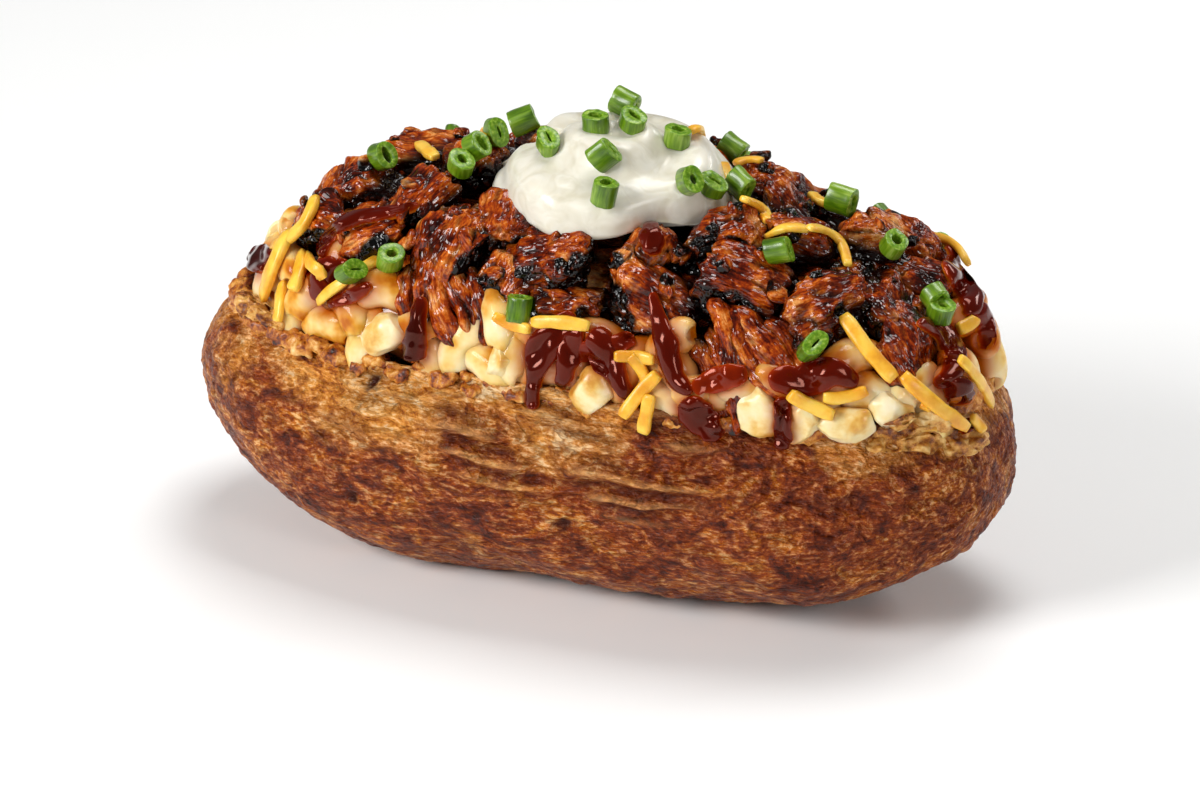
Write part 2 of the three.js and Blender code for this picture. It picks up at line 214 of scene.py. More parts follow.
def uneven(p, *bumps):
    """Unevenness at a point from bumps of several sizes, each a height and a width in mm."""
    return sum(height * noise.noise(p / width) for height, width in bumps)


def finished(shaped, name, finishes, slot, *nodes):
    """Makes a piece in metres of a shape in mm, and keeps it for later toppings to lie on."""
    bmesh.ops.recalc_face_normals(shaped, faces=shaped.faces)
    carriers.append(BVHTree.FromBMesh(shaped))
    bmesh.ops.scale(shaped, vec=(MM, MM, MM), verts=shaped.verts)
    mesh = bpy.data.meshes.new(name)
    shaped.to_mesh(mesh)
    shaped.free()
    mesh.shade_smooth()
    for one in finishes:
        mesh.materials.append(one)
    piece = bpy.data.objects.new(name, mesh)
    bpy.context.scene.collection.objects.link(piece)
    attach(piece, "root")
    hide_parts(*nodes)
    laid.append(piece)
    return piece


def potato_relief(p):
    """Low swells of the whole potato."""
    broad = 1.3 * wave(p.x + 17, 107) * wave(p.y + 1.2 * p.z + 30, 119)
    return broad + 0.8 * wave(p.x + p.z, 57) * wave(p.y + 16, 63)


def bowl_height(x, y):
    """Height of the opening's wall or floor at a place, or None beside it."""
    ragged = 1 + 0.018 * noise.noise(Vector((x, y, 0)) / 6) + 0.012 * noise.noise(Vector((x, y, 5)) / 2.2)
    along = abs(x - OPENING_MIDDLE.x) / (OPENING["right"] if x > 0 else OPENING["left"]) * ragged
    around = along ** OPENING["plan"] + (abs(y) / OPENING["half"] * ragged) ** OPENING["plan"]
    level = 1 - around ** (OPENING["section"] / OPENING["plan"])
    if level <= 0:
        return None
    return OPENING_MIDDLE.z - OPENING["below"] * level ** (1 / OPENING["section"])


def crease(p, length, spacing, seed):
    """1 at the bottom of a long crease in the skin and 0 on the open skin beside it."""
    bent = p + 5 * noise.noise_vector(p / 24 + Vector((seed, 0, 0)))
    value = noise.noise(Vector((bent.x / length, bent.y / spacing, bent.z / spacing + seed)))
    return max(0, 1 - 5 * abs(value))


SHRUNKEN = dict(x=3, z=48, length=33, height=16)  # mm, middle and reach of the wrinkled patch
FOLD_SPACING, FOLD_LIFT = 4.8, 2.6  # mm from one long wrinkle to the next, and how high they stand
SPLIT_DEPTHS = dict(taut=0.3, wrinkled=0.6)  # mm, of the short fine splits
CUT_EDGE = 1.5  # mm inside the opening over which the skin gives way to flesh
EYE_DEPTH = 0.35  # of an eye's radius
EYES = [  # place of each eye or scorched pit, and its radius, in mm
    (-66, -26, 50, 2.6), (-58, -31, 52, 1.6), (64, -36, 38, 1.8), (8, -41, 24, 2.4), (-42, -38, 22, 2.0),
    (79, -22, 30, 2.2), (-36, -37, 49, 2.2), (-80, -12, 44, 2.0), (30, -41, 45, 1.5), (48, -39, 18, 1.7),
    (-20, 40, 40, 2.5), (35, 41, 30, 2.2), (62, 34, 46, 2.0), (-60, 32, 28, 2.4), (-82, 10, 22, 2.3),
    (0, 40, 16, 1.8), (88, 8, 40, 2.0),
]

skin = bmesh.new()
bmesh.ops.create_uvsphere(skin, u_segments=360, v_segments=250, radius=1)
bmesh.ops.rotate(skin, matrix=Matrix.Rotation(math.pi / 2, 3, "Y"), verts=skin.verts)
crease_shade_and_pit_mark = skin.verts.layers.float.new("crease")
inside_mark = skin.verts.layers.float.new("inside")
roast_and_shade_mark = skin.verts.layers.float.new("roast_and_shade")
ridge_highlight_mark = skin.verts.layers.float.new("ridge_highlight")
for v, point, outward in swollen(skin, POTATO):
    body = point + POTATO_MIDDLE

    # Long folds run level round the sides and along the top, where the skin has shrunk.
    away_x = (body.x - SHRUNKEN["x"]) / SHRUNKEN["length"]
    away_z = (body.z - SHRUNKEN["z"]) / SHRUNKEN["height"]
    shrunk = math.exp(-away_x ** 2 - away_z ** 2)
    shrunk = smoothed(shrunk + 0.6 * noise.noise(body / 24 + Vector((3, 1, 7))), 0.12, 0.6)
    bent = body + 3.0 * noise.noise_vector(body / 19) + 0.4 * noise.noise_vector(body / 5)
    height = (bent.z if abs(body.y) > 20 else abs(bent.y)) / FOLD_SPACING + 0.3 * noise.noise(bent / 12)
    fold = abs(2 * (height - math.floor(height)) - 1) ** 1.5
    along = smoothed(noise.noise(Vector((body.x / 20, bent.z / 8, bent.y / 8))), -0.35, 0.05)
    # Painted shade for the colour: the valleys between the folds are marked to be darker.
    valley_shade = (1 - fold) ** 2 * along * shrunk
    fold *= along

    # Short splits and low unevenness are everywhere.
    split = crease(body, 9, 4, 9)
    lift = potato_relief(point) + uneven(body, (0.7, 9), (0.45, 3.6), (0.25, 1.5))
    lift += shrunk * (FOLD_LIFT * fold - SPLIT_DEPTHS["wrinkled"] * split ** 2)
    lift -= SPLIT_DEPTHS["taut"] * (1 - shrunk) * split ** 2

    # Eyes and scorched pits are sunk in it and dark.
    dark = 0
    for x, y, z, size in EYES:
        away = (body - Vector((x, y, z))).length / size
        away += 0.5 * noise.noise(body / 1.6)
        lift -= EYE_DEPTH * size * max(0, 1 - away * away)
        dark = max(dark, 1 - smoothed(away, 0.55, 1.15))
    body += outward * lift
    body.z = max(0, body.z)

    # Marks that the finish reads, and last the top, which sinks into the bowl.
    # The crease mark is painted shade in the fold valleys, together with the real dark of the splits, eyes
    # and pits.
    v[crease_shade_and_pit_mark] = max(0.75 * valley_shade, 0.45 * split, dark)
    v[inside_mark] = 0
    # Painted highlight: the crests of the folds are marked to be paler.
    v[ridge_highlight_mark] = smoothed(fold, 0.35, 0.9) * shrunk
    # Real browning together with painted shade: darker low down and towards the right, least at the top
    # right.
    v[roast_and_shade_mark] = 0.25 * smoothed(body.x, -15, 60) + 0.33 * smoothed(-body.z, -56, -26) - 0.07
    v[roast_and_shade_mark] -= 0.24 * smoothed(body.x, 42, 84) * smoothed(body.z, 30, 50)
    bowl = bowl_height(body.x, body.y)
    if bowl is not None and body.z > bowl:
        v[inside_mark] = min(1, (body.z - bowl) / CUT_EDGE)
        body.z = bowl
    v.co = body

# Baked russet skin: papery over oil, brown in soft patches, with a painted highlight that turns
# the fold ridges golden and painted shade in the fold creases. Bright flecks about half a
# millimetre wide are painted glints, with thin dark cracks and pits between them.
baked_skin, tree, shader = material(
    "baked_russet_skin", Roughness=0.45, IOR=1.45, Specular_IOR_Level=0.1, Coat_Weight=0.24,
    Coat_Roughness=0.12,
)
place = add(tree, "TexCoord", give="Object")
crease_shade_and_pits = add(tree, "Attribute", give="Fac", attribute_name="crease")
roasts_and_shade = add(tree, "Attribute", give="Fac", attribute_name="roast_and_shade")
inside = add(tree, "Attribute", give="Fac", attribute_name="inside")

# Patterns: broad patches, mottling, fine grain, wrinkles and crinkles.
stretched = add(tree, "Mapping", {
    "Vector": place, "Rotation": (0.2, 0.5, 0), "Scale": (0.75, 1, 1),
})
patches = add(tree, "TexNoise", {
    "Vector": stretched, "Scale": 1 / (19 * MM), "Detail": 5, "Roughness": 0.62, "Distortion": 0.8,
})
mottle = add(tree, "TexNoise", {
    "Vector": stretched, "Scale": 1 / (8 * MM), "Detail": 8, "Roughness": 0.7, "Distortion": 1.0,
})
streaks = add(tree, "Mapping", {"Vector": place, "Rotation": (0, 0.12, 0), "Scale": (0.4, 1, 1)})
grain = add(tree, "TexNoise", {
    "Vector": streaks, "Scale": 1 / (0.9 * MM), "Detail": 4, "Roughness": 0.7, "Distortion": 0.25,
})
wrinkles = add(tree, "TexNoise", {
    "Vector": stretched, "Scale": 1 / (6 * MM), "Detail": 7, "Roughness": 0.6,
    "Offset": 0.9, "Gain": 1.2, "Distortion": 0.7,
}, noise_type="RIDGED_MULTIFRACTAL")
crinkles = add(tree, "TexVoronoi", {
    "Vector": streaks, "Scale": 1 / (1.9 * MM), "Detail": 2, "Roughness": 0.6,
})

# Colour: golden where the patches are low and browned where they are high.
tone_place = add(tree, "Mix", {"Factor": 0.33, 2: mottle, 3: grain}, data_type="FLOAT")
# Painted highlight: the tone is raised a little on the fold ridges, and more below.
painted_ridge_highlight = add(tree, "Attribute", give="Fac", attribute_name="ridge_highlight")
tone_place = add(tree, "Math", {0: painted_ridge_highlight, 1: 0.04, 2: tone_place}, operation="MULTIPLY_ADD")
golden = add(tree, "ValToRGB", {"Fac": tone_place}, stops=[
    (0.37, "#541A04"), (0.43, "#A0540E"), (0.48, "#D4862E"), (0.54, "#ECA652"), (0.62, "#FFDCA8"),
])
browned = add(tree, "ValToRGB", {"Fac": tone_place}, stops=[
    (0.36, "#240600"), (0.43, "#581A00"), (0.50, "#8C3802"), (0.57, "#C06812"), (0.65, "#E8A850"),
])
# The roast mark adds real browning and painted shade, low down and at the right.
caught = add(tree, "Math", {0: patches, 1: roasts_and_shade}, operation="ADD")
much = add(tree, "MapRange", {"Value": caught, "From Min": 0.44, "From Max": 0.66})
base = add(tree, "Mix", {"Factor": much, 6: golden, 7: browned}, give=2, data_type="RGBA")

# Painted glints as bright flecks, fewer on browned skin, and a painted highlight on the fold ridges.
glint_flecks = add(tree, "MapRange", {"Value": grain, "From Min": 0.53, "From Max": 0.60})
share = add(tree, "MapRange", {"Value": much, "To Min": 0.66, "To Max": 0.34})
fleck_and_crack_patches = add(tree, "MapRange", {"Value": mottle, "From Min": 0.42, "From Max": 0.60})
glint_flecked = add(tree, "Math", {0: glint_flecks, 1: share}, operation="MULTIPLY")
glint_flecked = add(tree, "Math", {0: glint_flecked, 1: fleck_and_crack_patches}, operation="MULTIPLY")
glinted = add(tree, "Mix", {"Factor": glint_flecked, 6: base, 7: "#FAD6A4"}, give=2, data_type="RGBA")
painted_ridge_highlight = add(tree, "Math", {0: painted_ridge_highlight, 1: 0.38}, operation="MULTIPLY")
glinted = add(tree, "Mix", {"Factor": painted_ridge_highlight, 6: glinted, 7: "#EDB674"}, give=2, data_type="RGBA")

# Dark cracks and pits, painted shade in the fold creases, and the flesh inside the opening.
crossing = add(tree, "TexNoise", {
    "Vector": streaks, "Scale": 1 / (4.5 * MM), "Detail": 4, "Roughness": 0.55, "Distortion": 0.8,
})
crossing = add(tree, "Math", {0: crossing, 1: 0.5}, operation="SUBTRACT")
crossing = add(tree, "Math", {0: crossing}, operation="ABSOLUTE")
cracks = add(tree, "MapRange", {
    "Value": crossing, "From Min": 0.004, "From Max": 0.028, "To Min": 0.4, "To Max": 0.0,
})
pits = add(tree, "MapRange", {"Value": grain, "From Min": 0.46, "From Max": 0.38, "To Max": 0.35})
cracks = add(tree, "Math", {0: cracks, 1: pits}, operation="MAXIMUM")
cracks = add(tree, "Math", {0: cracks, 1: fleck_and_crack_patches}, operation="MULTIPLY")
glinted = add(tree, "Mix", {"Factor": cracks, 6: glinted, 7: "#6E2404"}, give=2, data_type="RGBA")
dark = add(tree, "Mix", {"Factor": crease_shade_and_pits, 6: glinted, 7: "#3E1405"}, give=2, data_type="RGBA")
flesh = add(tree, "Mix", {"Factor": inside, 6: dark, 7: "#C08A40"}, give=2, data_type="RGBA")
tree.links.new(flesh, shader.inputs["Base Color"])

# Relief of up to two millimetres, the same for the skin and for the oil on it.
ridges = add(tree, "MapRange", {"Value": wrinkles, "From Min": 0.2, "From Max": 1.2})
relief = add(tree, "Mix", {"Factor": 0.35, 2: ridges, 3: grain}, data_type="FLOAT")
relief = add(tree, "Mix", {"Factor": 0.35, 2: relief, 3: crinkles}, data_type="FLOAT")
relief = add(tree, "Math", {0: cracks, 1: -0.25, 2: relief}, operation="MULTIPLY_ADD")
bumps = add(tree, "Bump", {"Height": relief, "Strength": 1.0, "Distance": 2.0 * MM})
tree.links.new(bumps, shader.inputs["Normal"])
tree.links.new(bumps, shader.inputs["Coat Normal"])

finished(skin, "potato_skin", [baked_skin], "potato_skin", "potato")

# ------------------------------------------------------------------------------- macaroni cheese
# Elbows of pasta and blunt crumbs of curd stand in a thick cheese sauce that fills the opening.
# They sit on the smooth outside of the heap, the near ones where listed and the far ones by rule.

HEAP = dict(left=80, right=88, half=38, above=43, below=43, plan=2.6, section=2.2)
HEAP_MIDDLE = Vector((2, 0, 50))
FILLING = dict(left=78, right=83, half=35.5, above=17, below=12, plan=2.5, section=2.2)
ELBOW = dict(radius=4.2, long=16, bend=8, hole=1.7, depth=1.6)
ELBOW_SUNK, ELBOW_TILT = 3.2, 18  # mm into the heap, and the most that one tips, in degrees
GOLDEN_TURN = 137.5  # degrees, so that no two neighbours lie alike
NEAR_MACARONI = [  # x, height, turn in degrees
    (-76, 57, 80), (-70, 61, 20), (-63, 58, -60), (-57, 63, 35), (-51, 58, 10), (-45, 63, -40),
    (-41, 57, 75), (-29, 62, 15), (-24, 57, -70), (-17, 61, 60), (-11, 58, -20), (-4, 62, 85),
    (2, 58, 30), (8, 62, -50), (22, 61, 70), (28, 57, -15), (34, 61, -65), (39, 56, 40),
    (45, 60, 5), (57, 61, -35), (65, 60, 65), (73, 60, -10), (80, 60, 50), (84, 56, -55),
    (88, 60, 15), (-66, 67, -30), (-52, 69, 70), (-37, 69, 0), (-8, 68, -60), (3, 68, 20),
    (15, 67, -10), (30, 67, 60), (68, 67, 35),
]
NEAR_CURDS = [  # x, height, length, width, turn
    (-34, 60, 13, 9, 20), (-6, 59, 8, 7, 70), (15, 56, 11, 10, 40), (51, 56, 12, 11, -25),
    (60, 54, 11, 10, 60), (69, 53, 14, 9, 10), (77, 56, 10, 9, -50), (37, 58, 9, 8, 15),
]
CURD = dict(half_thick=4, sides=7, sunk=0.6)  # mm, and the number of flat sides
FAR_CURDS = dict(count=9, start=-64, spacing=17, height=58, width=9)
FAR_MACARONI = dict(count=24, start=-74, end=84, heights=(57, 63, 60, 67))
END_MACARONI = [  # x, height, side of the heap, turn
    (-79, 57, 1, 20), (-78, 60, -1, 70), (88, 57, 1, 50), (86, 62, 1, -20), (88, 58, -1, 10),
    (-74, 66, 1, -40),
]


def side_of(shape, middle, x, z):
    """Distance of a rounded body's side from its long axis."""
    along = abs(x - middle.x) / (shape["right"] if x > middle.x else shape["left"])
    level = max(0, 1 - (abs(z - middle.z) / shape["above"]) ** shape["section"])
    around = max(0, level ** (shape["plan"] / shape["section"]) - along ** shape["plan"])
    return shape["half"] * around ** (1 / shape["plan"])


def top_of(shape, middle, x, y):
    """Height of a rounded body's upper side."""
    along = abs(x - middle.x) / (shape["right"] if x > middle.x else shape["left"])
    around = along ** shape["plan"] + (abs(y - middle.y) / shape["half"]) ** shape["plan"]
    level = max(0, 1 - around ** (shape["section"] / shape["plan"]))
    return middle.z + shape["above"] * level ** (1 / shape["section"])


def outward_at(shape, middle, point):
    """The way out of a rounded body at a point on it."""
    offset = point - middle
    powers = (shape["plan"], shape["plan"], shape["section"])
    return Vector([
        math.copysign(abs(c / h) ** (power - 1) / h, c)
        for c, h, power in zip(offset, half_sizes(shape, offset), powers)
    ]).normalized()


def seat(point, turn, rise, tilt=0, outward=None):
    """Where a topping sits on the heap: its Z goes along the way out, turned and tilted."""
    outward = outward or outward_at(HEAP, HEAP_MIDDLE, point)
    along = (Vector((1, 0, 0)) - outward * outward.x).normalized()
    frame_of = Matrix((along, outward.cross(along), outward)).transposed().to_4x4()
    turned = Matrix.Rotation(math.radians(turn), 4, "Z") @ Matrix.Rotation(math.radians(tilt), 4, "Y")
    return Matrix.Translation(point + outward * rise) @ frame_of @ turned


def on_heap_top(x, y):
    """A place on the upper side of the smooth heap."""
    return Vector((x, y, top_of(HEAP, HEAP_MIDDLE, x, y)))


def on_heap_side(x, z, towards):
    """A place on the near side of the smooth heap, towards -1, or on its far side, towards 1."""
    return Vector((x, towards * side_of(HEAP, HEAP_MIDDLE, x, z), z))


def under_heap(point):
    """How deep a point lies under the smooth heap."""
    offset = point - HEAP_MIDDLE
    share = [abs(c / h) for c, h in zip(offset, half_sizes(HEAP, offset))]
    around = (share[0] ** HEAP["plan"] + share[1] ** HEAP["plan"]) ** (HEAP["section"] / HEAP["plan"])
    return offset.length * (1 - (around + share[2] ** HEAP["section"]) ** (1 / HEAP["section"]))


def join(whole, part, where=Matrix.Identity(4)):
    """Moves a shape to its place and adds it to a larger one."""
    part.transform(where)
    mesh = bpy.data.meshes.new("part")
    part.to_mesh(mesh)
    part.free()
    whole.from_mesh(mesh)
    bpy.data.meshes.remove(mesh)


def scattered(index, kind=0):
    """A value from -1 to 1 that jumps from piece to piece."""
    return math.sin(math.radians(GOLDEN_TURN * (index + 1)) + 2 * kind)


def elbow():
    """A bent tube of pasta, swollen in the middle, with a hole sunk in each end."""
    made = ball(4)
    long, radius, bend = ELBOW["long"], ELBOW["radius"], ELBOW["bend"]
    shape = dict(
        left=long / 2, right=long / 2, half=radius, above=radius, below=radius, plan=3.4, section=2,
    )
    for v, point, _ in swollen(made, shape):
        from_middle = math.hypot(point.y, point.z) / ELBOW["hole"]
        if abs(point.x) > 0.6 * long / 2 and from_middle < 1.3:
            point.x -= math.copysign(ELBOW["depth"] * (1 - smoothed(from_middle, 0.7, 1.3)), point.x)
        angle = point.x / bend
        v.co = ((bend + point.y) * math.sin(angle), (bend + point.y) * math.cos(angle) - bend, point.z)
    return made


def patchy(tree, shader, patches, stops, stains_and_shade, bump):
    """Soft patches of colour with low bumps, mixed with real stains and painted shade as far as attributes
    of the piece say.
    """
    place = add(tree, "TexCoord", give="Object")
    cloud = add(tree, "TexNoise", {"Vector": place, **patches})
    colour = add(tree, "ValToRGB", {"Fac": cloud}, stops)
    for attribute, tint in stains_and_shade.items():
        share = add(tree, "Attribute", give="Fac", attribute_name=attribute)
        colour = add(tree, "Mix", {"Factor": share, 6: colour, 7: tint}, give=2, data_type="RGBA")
    bumps = add(tree, "Bump", {"Height": cloud, **bump})
    tree.links.new(colour, shader.inputs["Base Color"])
    tree.links.new(bumps, shader.inputs["Normal"])


# Cheese sauce: thick, glossy and pale yellow, stained brown where barbecue sauce has run in.
cheese_sauce, tree, shader = material(
    "cheese_sauce", Roughness=0.25, IOR=1.45, Coat_Weight=0.5, Coat_Roughness=0.12,
)
patchy(
    tree, shader, patches={"Scale": 1 / (9 * MM), "Detail": 4},
    stops=[(0.38, "#7A2A0A"), (0.50, "#B8661A"), (0.62, "#DCA650")],
    stains_and_shade={"sauced": "#5E1203"}, bump={"Strength": 0.4, "Distance": 1 * MM},
)

filling = ball(7)
for v, point, outward in swollen(filling, FILLING):
    lift = 0.9 * wave(point.x, 41) + 0.7 * wave(point.x + 0.7 * point.y, 23) - 0.8
    lift += uneven(point, (0.9, 6), (0.3, 2.4))
    v.co = OPENING_MIDDLE + point + outward * lift
filling_piece = finished(filling, "cheese_sauce", [cheese_sauce], "macaroni_cheese", "macaroni_cheese")

# Boiled durum pasta: cream yellow and slightly see-through, wet with cheese.
pasta, tree, shader = material(
    "boiled_macaroni", Roughness=0.35, IOR=1.45, Coat_Weight=0.35, Coat_Roughness=0.06,
    Specular_IOR_Level=0.1, Subsurface_Weight=0.35, Subsurface_Radius=(1.0, 0.6, 0.25),
    Subsurface_Scale=3 * MM,
)
# The sunk mark is painted shade: orange-brown between the elbows where they sink into the heap. Sauced is a
# real stain.
patchy(
    tree, shader, patches={"Scale": 1 / (7 * MM), "Detail": 3, "Roughness": 0.45},
    stops=[(0.30, "#B8640A"), (0.39, "#DE9C34"), (0.48, "#F0C878"), (0.66, "#F8E4B4")],
    stains_and_shade={"sunk": "#C46400", "sauced": "#B04600"}, bump={"Strength": 0.25, "Distance": 1 * MM},
)

macaroni = bmesh.new()
spots = [(on_heap_side(x, z, -1), turn) for x, z, turn in NEAR_MACARONI]
steps = FAR_MACARONI["count"] - 1
for i in range(steps + 1):
    x = FAR_MACARONI["start"] + (FAR_MACARONI["end"] - FAR_MACARONI["start"]) * i / steps
    spots.append((on_heap_side(x, FAR_MACARONI["heights"][i % 4], 1), i * GOLDEN_TURN))
spots += [(on_heap_side(x, z, towards), turn) for x, z, towards, turn in END_MACARONI]
for i, (spot, turn) in enumerate(spots):
    join(macaroni, elbow(), seat(spot, turn, -ELBOW_SUNK, ELBOW_TILT * math.sin(2.4 * i)))
# Painted shade, deepest where an elbow lies furthest under the smooth heap.
crevice_shade_mark = macaroni.verts.layers.float.new("sunk")
for v in macaroni.verts:
    v[crevice_shade_mark] = smoothed(under_heap(v.co), -0.5, 3.5)
    v.co += 0.4 * noise.noise_vector(v.co / 5)
macaroni_piece = finished(macaroni, "macaroni", [pasta], "macaroni_cheese", "macaroni_cheese")

# Fresh curd: matt white to ivory, firm, broken with blunt edges.
curd_white, tree, shader = material(
    "fresh_curd", Roughness=0.35, IOR=1.45, Coat_Weight=0.3, Coat_Roughness=0.2,
    Subsurface_Weight=0.3, Subsurface_Radius=(1.0, 0.8, 0.5), Subsurface_Scale=2.5 * MM,
)
patchy(
    tree, shader, patches={"Scale": 1 / (6 * MM), "Detail": 5},
    stops=[(0.30, "#C98420"), (0.41, "#E4B65C"), (0.52, "#F0D798"), (0.70, "#F7E9C4")],
    stains_and_shade={"sauced": "#BC6416"}, bump={"Strength": 0.3, "Distance": 0.8 * MM},
)


def relaxed(made, times):
    """The shape with its bumps softened."""
    for _ in range(times):
        bmesh.ops.smooth_vert(
            made, verts=made.verts, factor=0.5, use_axis_x=True, use_axis_y=True, use_axis_z=True,
        )
    return made


def curd(length, width, seed):
    """A crumb broken on a few flat faces, with blunt edges."""
    made = ball(5)
    shape = dict(
        left=length / 2, right=length / 2, half=width / 2, above=CURD["half_thick"],
        below=CURD["half_thick"], plan=2.6, section=2.4,
    )
    shift = Vector((4.1 * seed, 9.7 * seed, 2.3))
    faces = [
        noise.noise_vector(Vector((3.3 * seed, 1.7 * n, 4.9))).normalized() for n in range(CURD["sides"])
    ]
    for v, point, outward in swollen(made, shape):
        for way in faces:
            reach = rounded(shape, way)[0].dot(way) * 0.72
            point -= way * max(0, point.dot(way) - reach) * 0.9
        lift = 0.5 * noise.noise(point / 4 + shift) + 0.2 * noise.noise(point / 1.5 + shift)
        v.co = point + outward * lift
    return relaxed(made, 2)


curds = bmesh.new()
for i, (x, z, length, width, turn) in enumerate(NEAR_CURDS):
    join(curds, curd(length, width, i), seat(on_heap_side(x, z, -1), turn, -CURD["sunk"]))
for i in range(FAR_CURDS["count"]):
    x = FAR_CURDS["start"] + FAR_CURDS["spacing"] * i
    spot = on_heap_side(x, FAR_CURDS["height"] + 3 * scattered(i), 1)
    crumb = curd(10 + 2 * scattered(i, 1), FAR_CURDS["width"], i + 20)
    join(curds, crumb, seat(spot, i * GOLDEN_TURN, -CURD["sunk"]))
curds_piece = finished(curds, "cheese_curds", [curd_white], "macaroni_cheese", "macaroni_cheese")

# ------------------------------------------------------------------------------- torn edge
# Where the potato was pulled open its skin and flesh broke into crumbs, which baked on to a
# knobbly golden crust all round the opening, with a few black spots.

EDGE = dict(crumbs=150, size=2.9)  # how many, and half the width of a large one in mm


def crust(name, stops):
    """Baked potato flesh, dry and rough: browned on what stands up and black in places."""
    made, tree, shader = material(name, Roughness=0.45, IOR=1.45, Coat_Weight=0.3, Coat_Roughness=0.2)
    patchy(
        tree, shader, patches={"Scale": 1 / (4.5 * MM), "Detail": 6, "Roughness": 0.7},
        stops=stops, stains_and_shade={}, bump={"Strength": 0.9, "Distance": 1.2 * MM},
    )
    return made


baked_flesh = crust("baked_potato_crust", [
    (0.36, "#1E0601"), (0.43, "#742A04"), (0.49, "#B2600E"), (0.56, "#D68E30"), (0.66, "#F4C478"),
])
edge = bmesh.new()
for i in range(EDGE["crumbs"]):
    turn = 2 * math.pi * (i + 0.4 * scattered(i, 2)) / EDGE["crumbs"]
    way = Vector((math.cos(turn), math.sin(turn), 0))
    out = (abs(way.x) ** OPENING["plan"] + abs(way.y) ** OPENING["plan"]) ** (-1 / OPENING["plan"])
    x = way.x * out * (OPENING["right"] if way.x > 0 else OPENING["left"]) * 1.005
    y = way.y * out * OPENING["half"] * (1 + 0.02 * scattered(i, 4))
    size = EDGE["size"] * (0.5 + 0.35 * abs(x / 80) ** 1.5 + 0.22 * scattered(i))
    shape = dict(
        left=size * 1.6, right=size * 1.6, half=size, above=0.8 * size, below=size, plan=2.3, section=2.3,
    )
    crumb = ball(4)
    for v, point, outward in swollen(crumb, shape):
        lift = noise.noise(point / 2.6 + Vector((i, 0, 0)))
        lift += 0.7 * noise.noise(point / 1.2 + Vector((0, i, 0)))
        v.co = point + outward * lift
    spot = Vector((x, y, top_of(POTATO, POTATO_MIDDLE, x, y) - 0.35 * size))
    along = Vector((-way.y * OPENING["left"], way.x * OPENING["half"], 0))
    join(edge, crumb, Matrix.Translation(spot) @ Matrix.Rotation(math.atan2(along.y, along.x), 4, "Z"))
finished(edge, "torn_edge", [baked_flesh], "potato_flesh", "potato")

# ------------------------------------------------------------------------------- brisket
# Smoked brisket, chopped across the grain or pulled along it, with black bark on the outer
# side of each piece, and tossed in glaze. A chopped piece is a ball cut flat by a few strokes of
# the knife, and a pulled one is a row of strands.

CORE = dict(left=69, right=77, half=27, above=11.5, below=9, plan=2.5, section=2.2)
CORE_MIDDLE = Vector((2, 0, 70))
BRISKET = [  # x, y, length, width, thickness, turn in degrees
    (1, -27, 26, 18, 15, 10), (42, -25, 25, 21, 17, -8), (62, -22, 22, 20, 16, 35),
    (34, -17, 23, 15, 14, 25), (23, -31, 26, 17, 14, -18), (-22, -27, 20, 22, 14, 70),
    (79, -18, 23, 18, 14, -42), (-13, -21, 16, 17, 14, 95), (72, -10, 20, 15, 14, -30),
    (50, -8, 17, 12, 12, 20), (-44, -24, 19, 14, 12, 25), (-34, -15, 17, 14, 13, 55),
    (-58, -17, 17, 15, 12, -20), (22, -23, 12, 13, 12, 80), (60, 3, 18, 15, 16, 60),
    (-52, -5, 15, 14, 13, 30), (-30, -1, 19, 14, 13, 0), (-8, -32, 14, 13, 12, 60),
    (76, 3, 16, 14, 13, 15), (6, -33, 17, 12, 11, 5), (42, 3, 15, 12, 12, -25),
    (-62, 3, 17, 15, 12, 75),
]
PULLED = [(46, -32.5, 25, 18, 10, -55), (-24, -33, 24, 17, 10, -72)]
STRANDS = 6  # in a pulled piece
FAR_ROWS = [
    dict(count=5, start=-43, end=64, y=12, length=22), dict(count=6, start=-50, end=64, y=26, length=24),
]
CHUNK_SUNK, PULLED_SUNK = 0.42, 0.2  # how much of its thickness a piece is sunk into the heap
CHUNK_TILT = 17  # degrees, the most that a piece tips


def far_brisket():
    """Rows of uneven pieces over the far side."""
    for row in FAR_ROWS:
        for i in range(row["count"]):
            long = row["length"] * (1 + 0.15 * scattered(i))
            x = row["start"] + (row["end"] - row["start"]) * i / (row["count"] - 1) + 1.5 * scattered(i, 1)
            yield x, row["y"] + 1.5 * scattered(i, 2), long, 0.8 * long, 0.6 * long, i * GOLDEN_TURN


def meat_marks(made):
    """New marks for bark, for painted shade in grooves and on steep sides, and for a place along the grain,
    which the finish reads.
    """
    marks = made.verts.layers
    return marks.float.new("bark"), marks.float.new("groove_shade"), marks.float_vector.new("grain_place")


def drawn_out(p, length, width):
    """Noise drawn out along X, in marks of so many mm."""
    return noise.noise(Vector((p.x / length, p.y / width, p.z / width)))


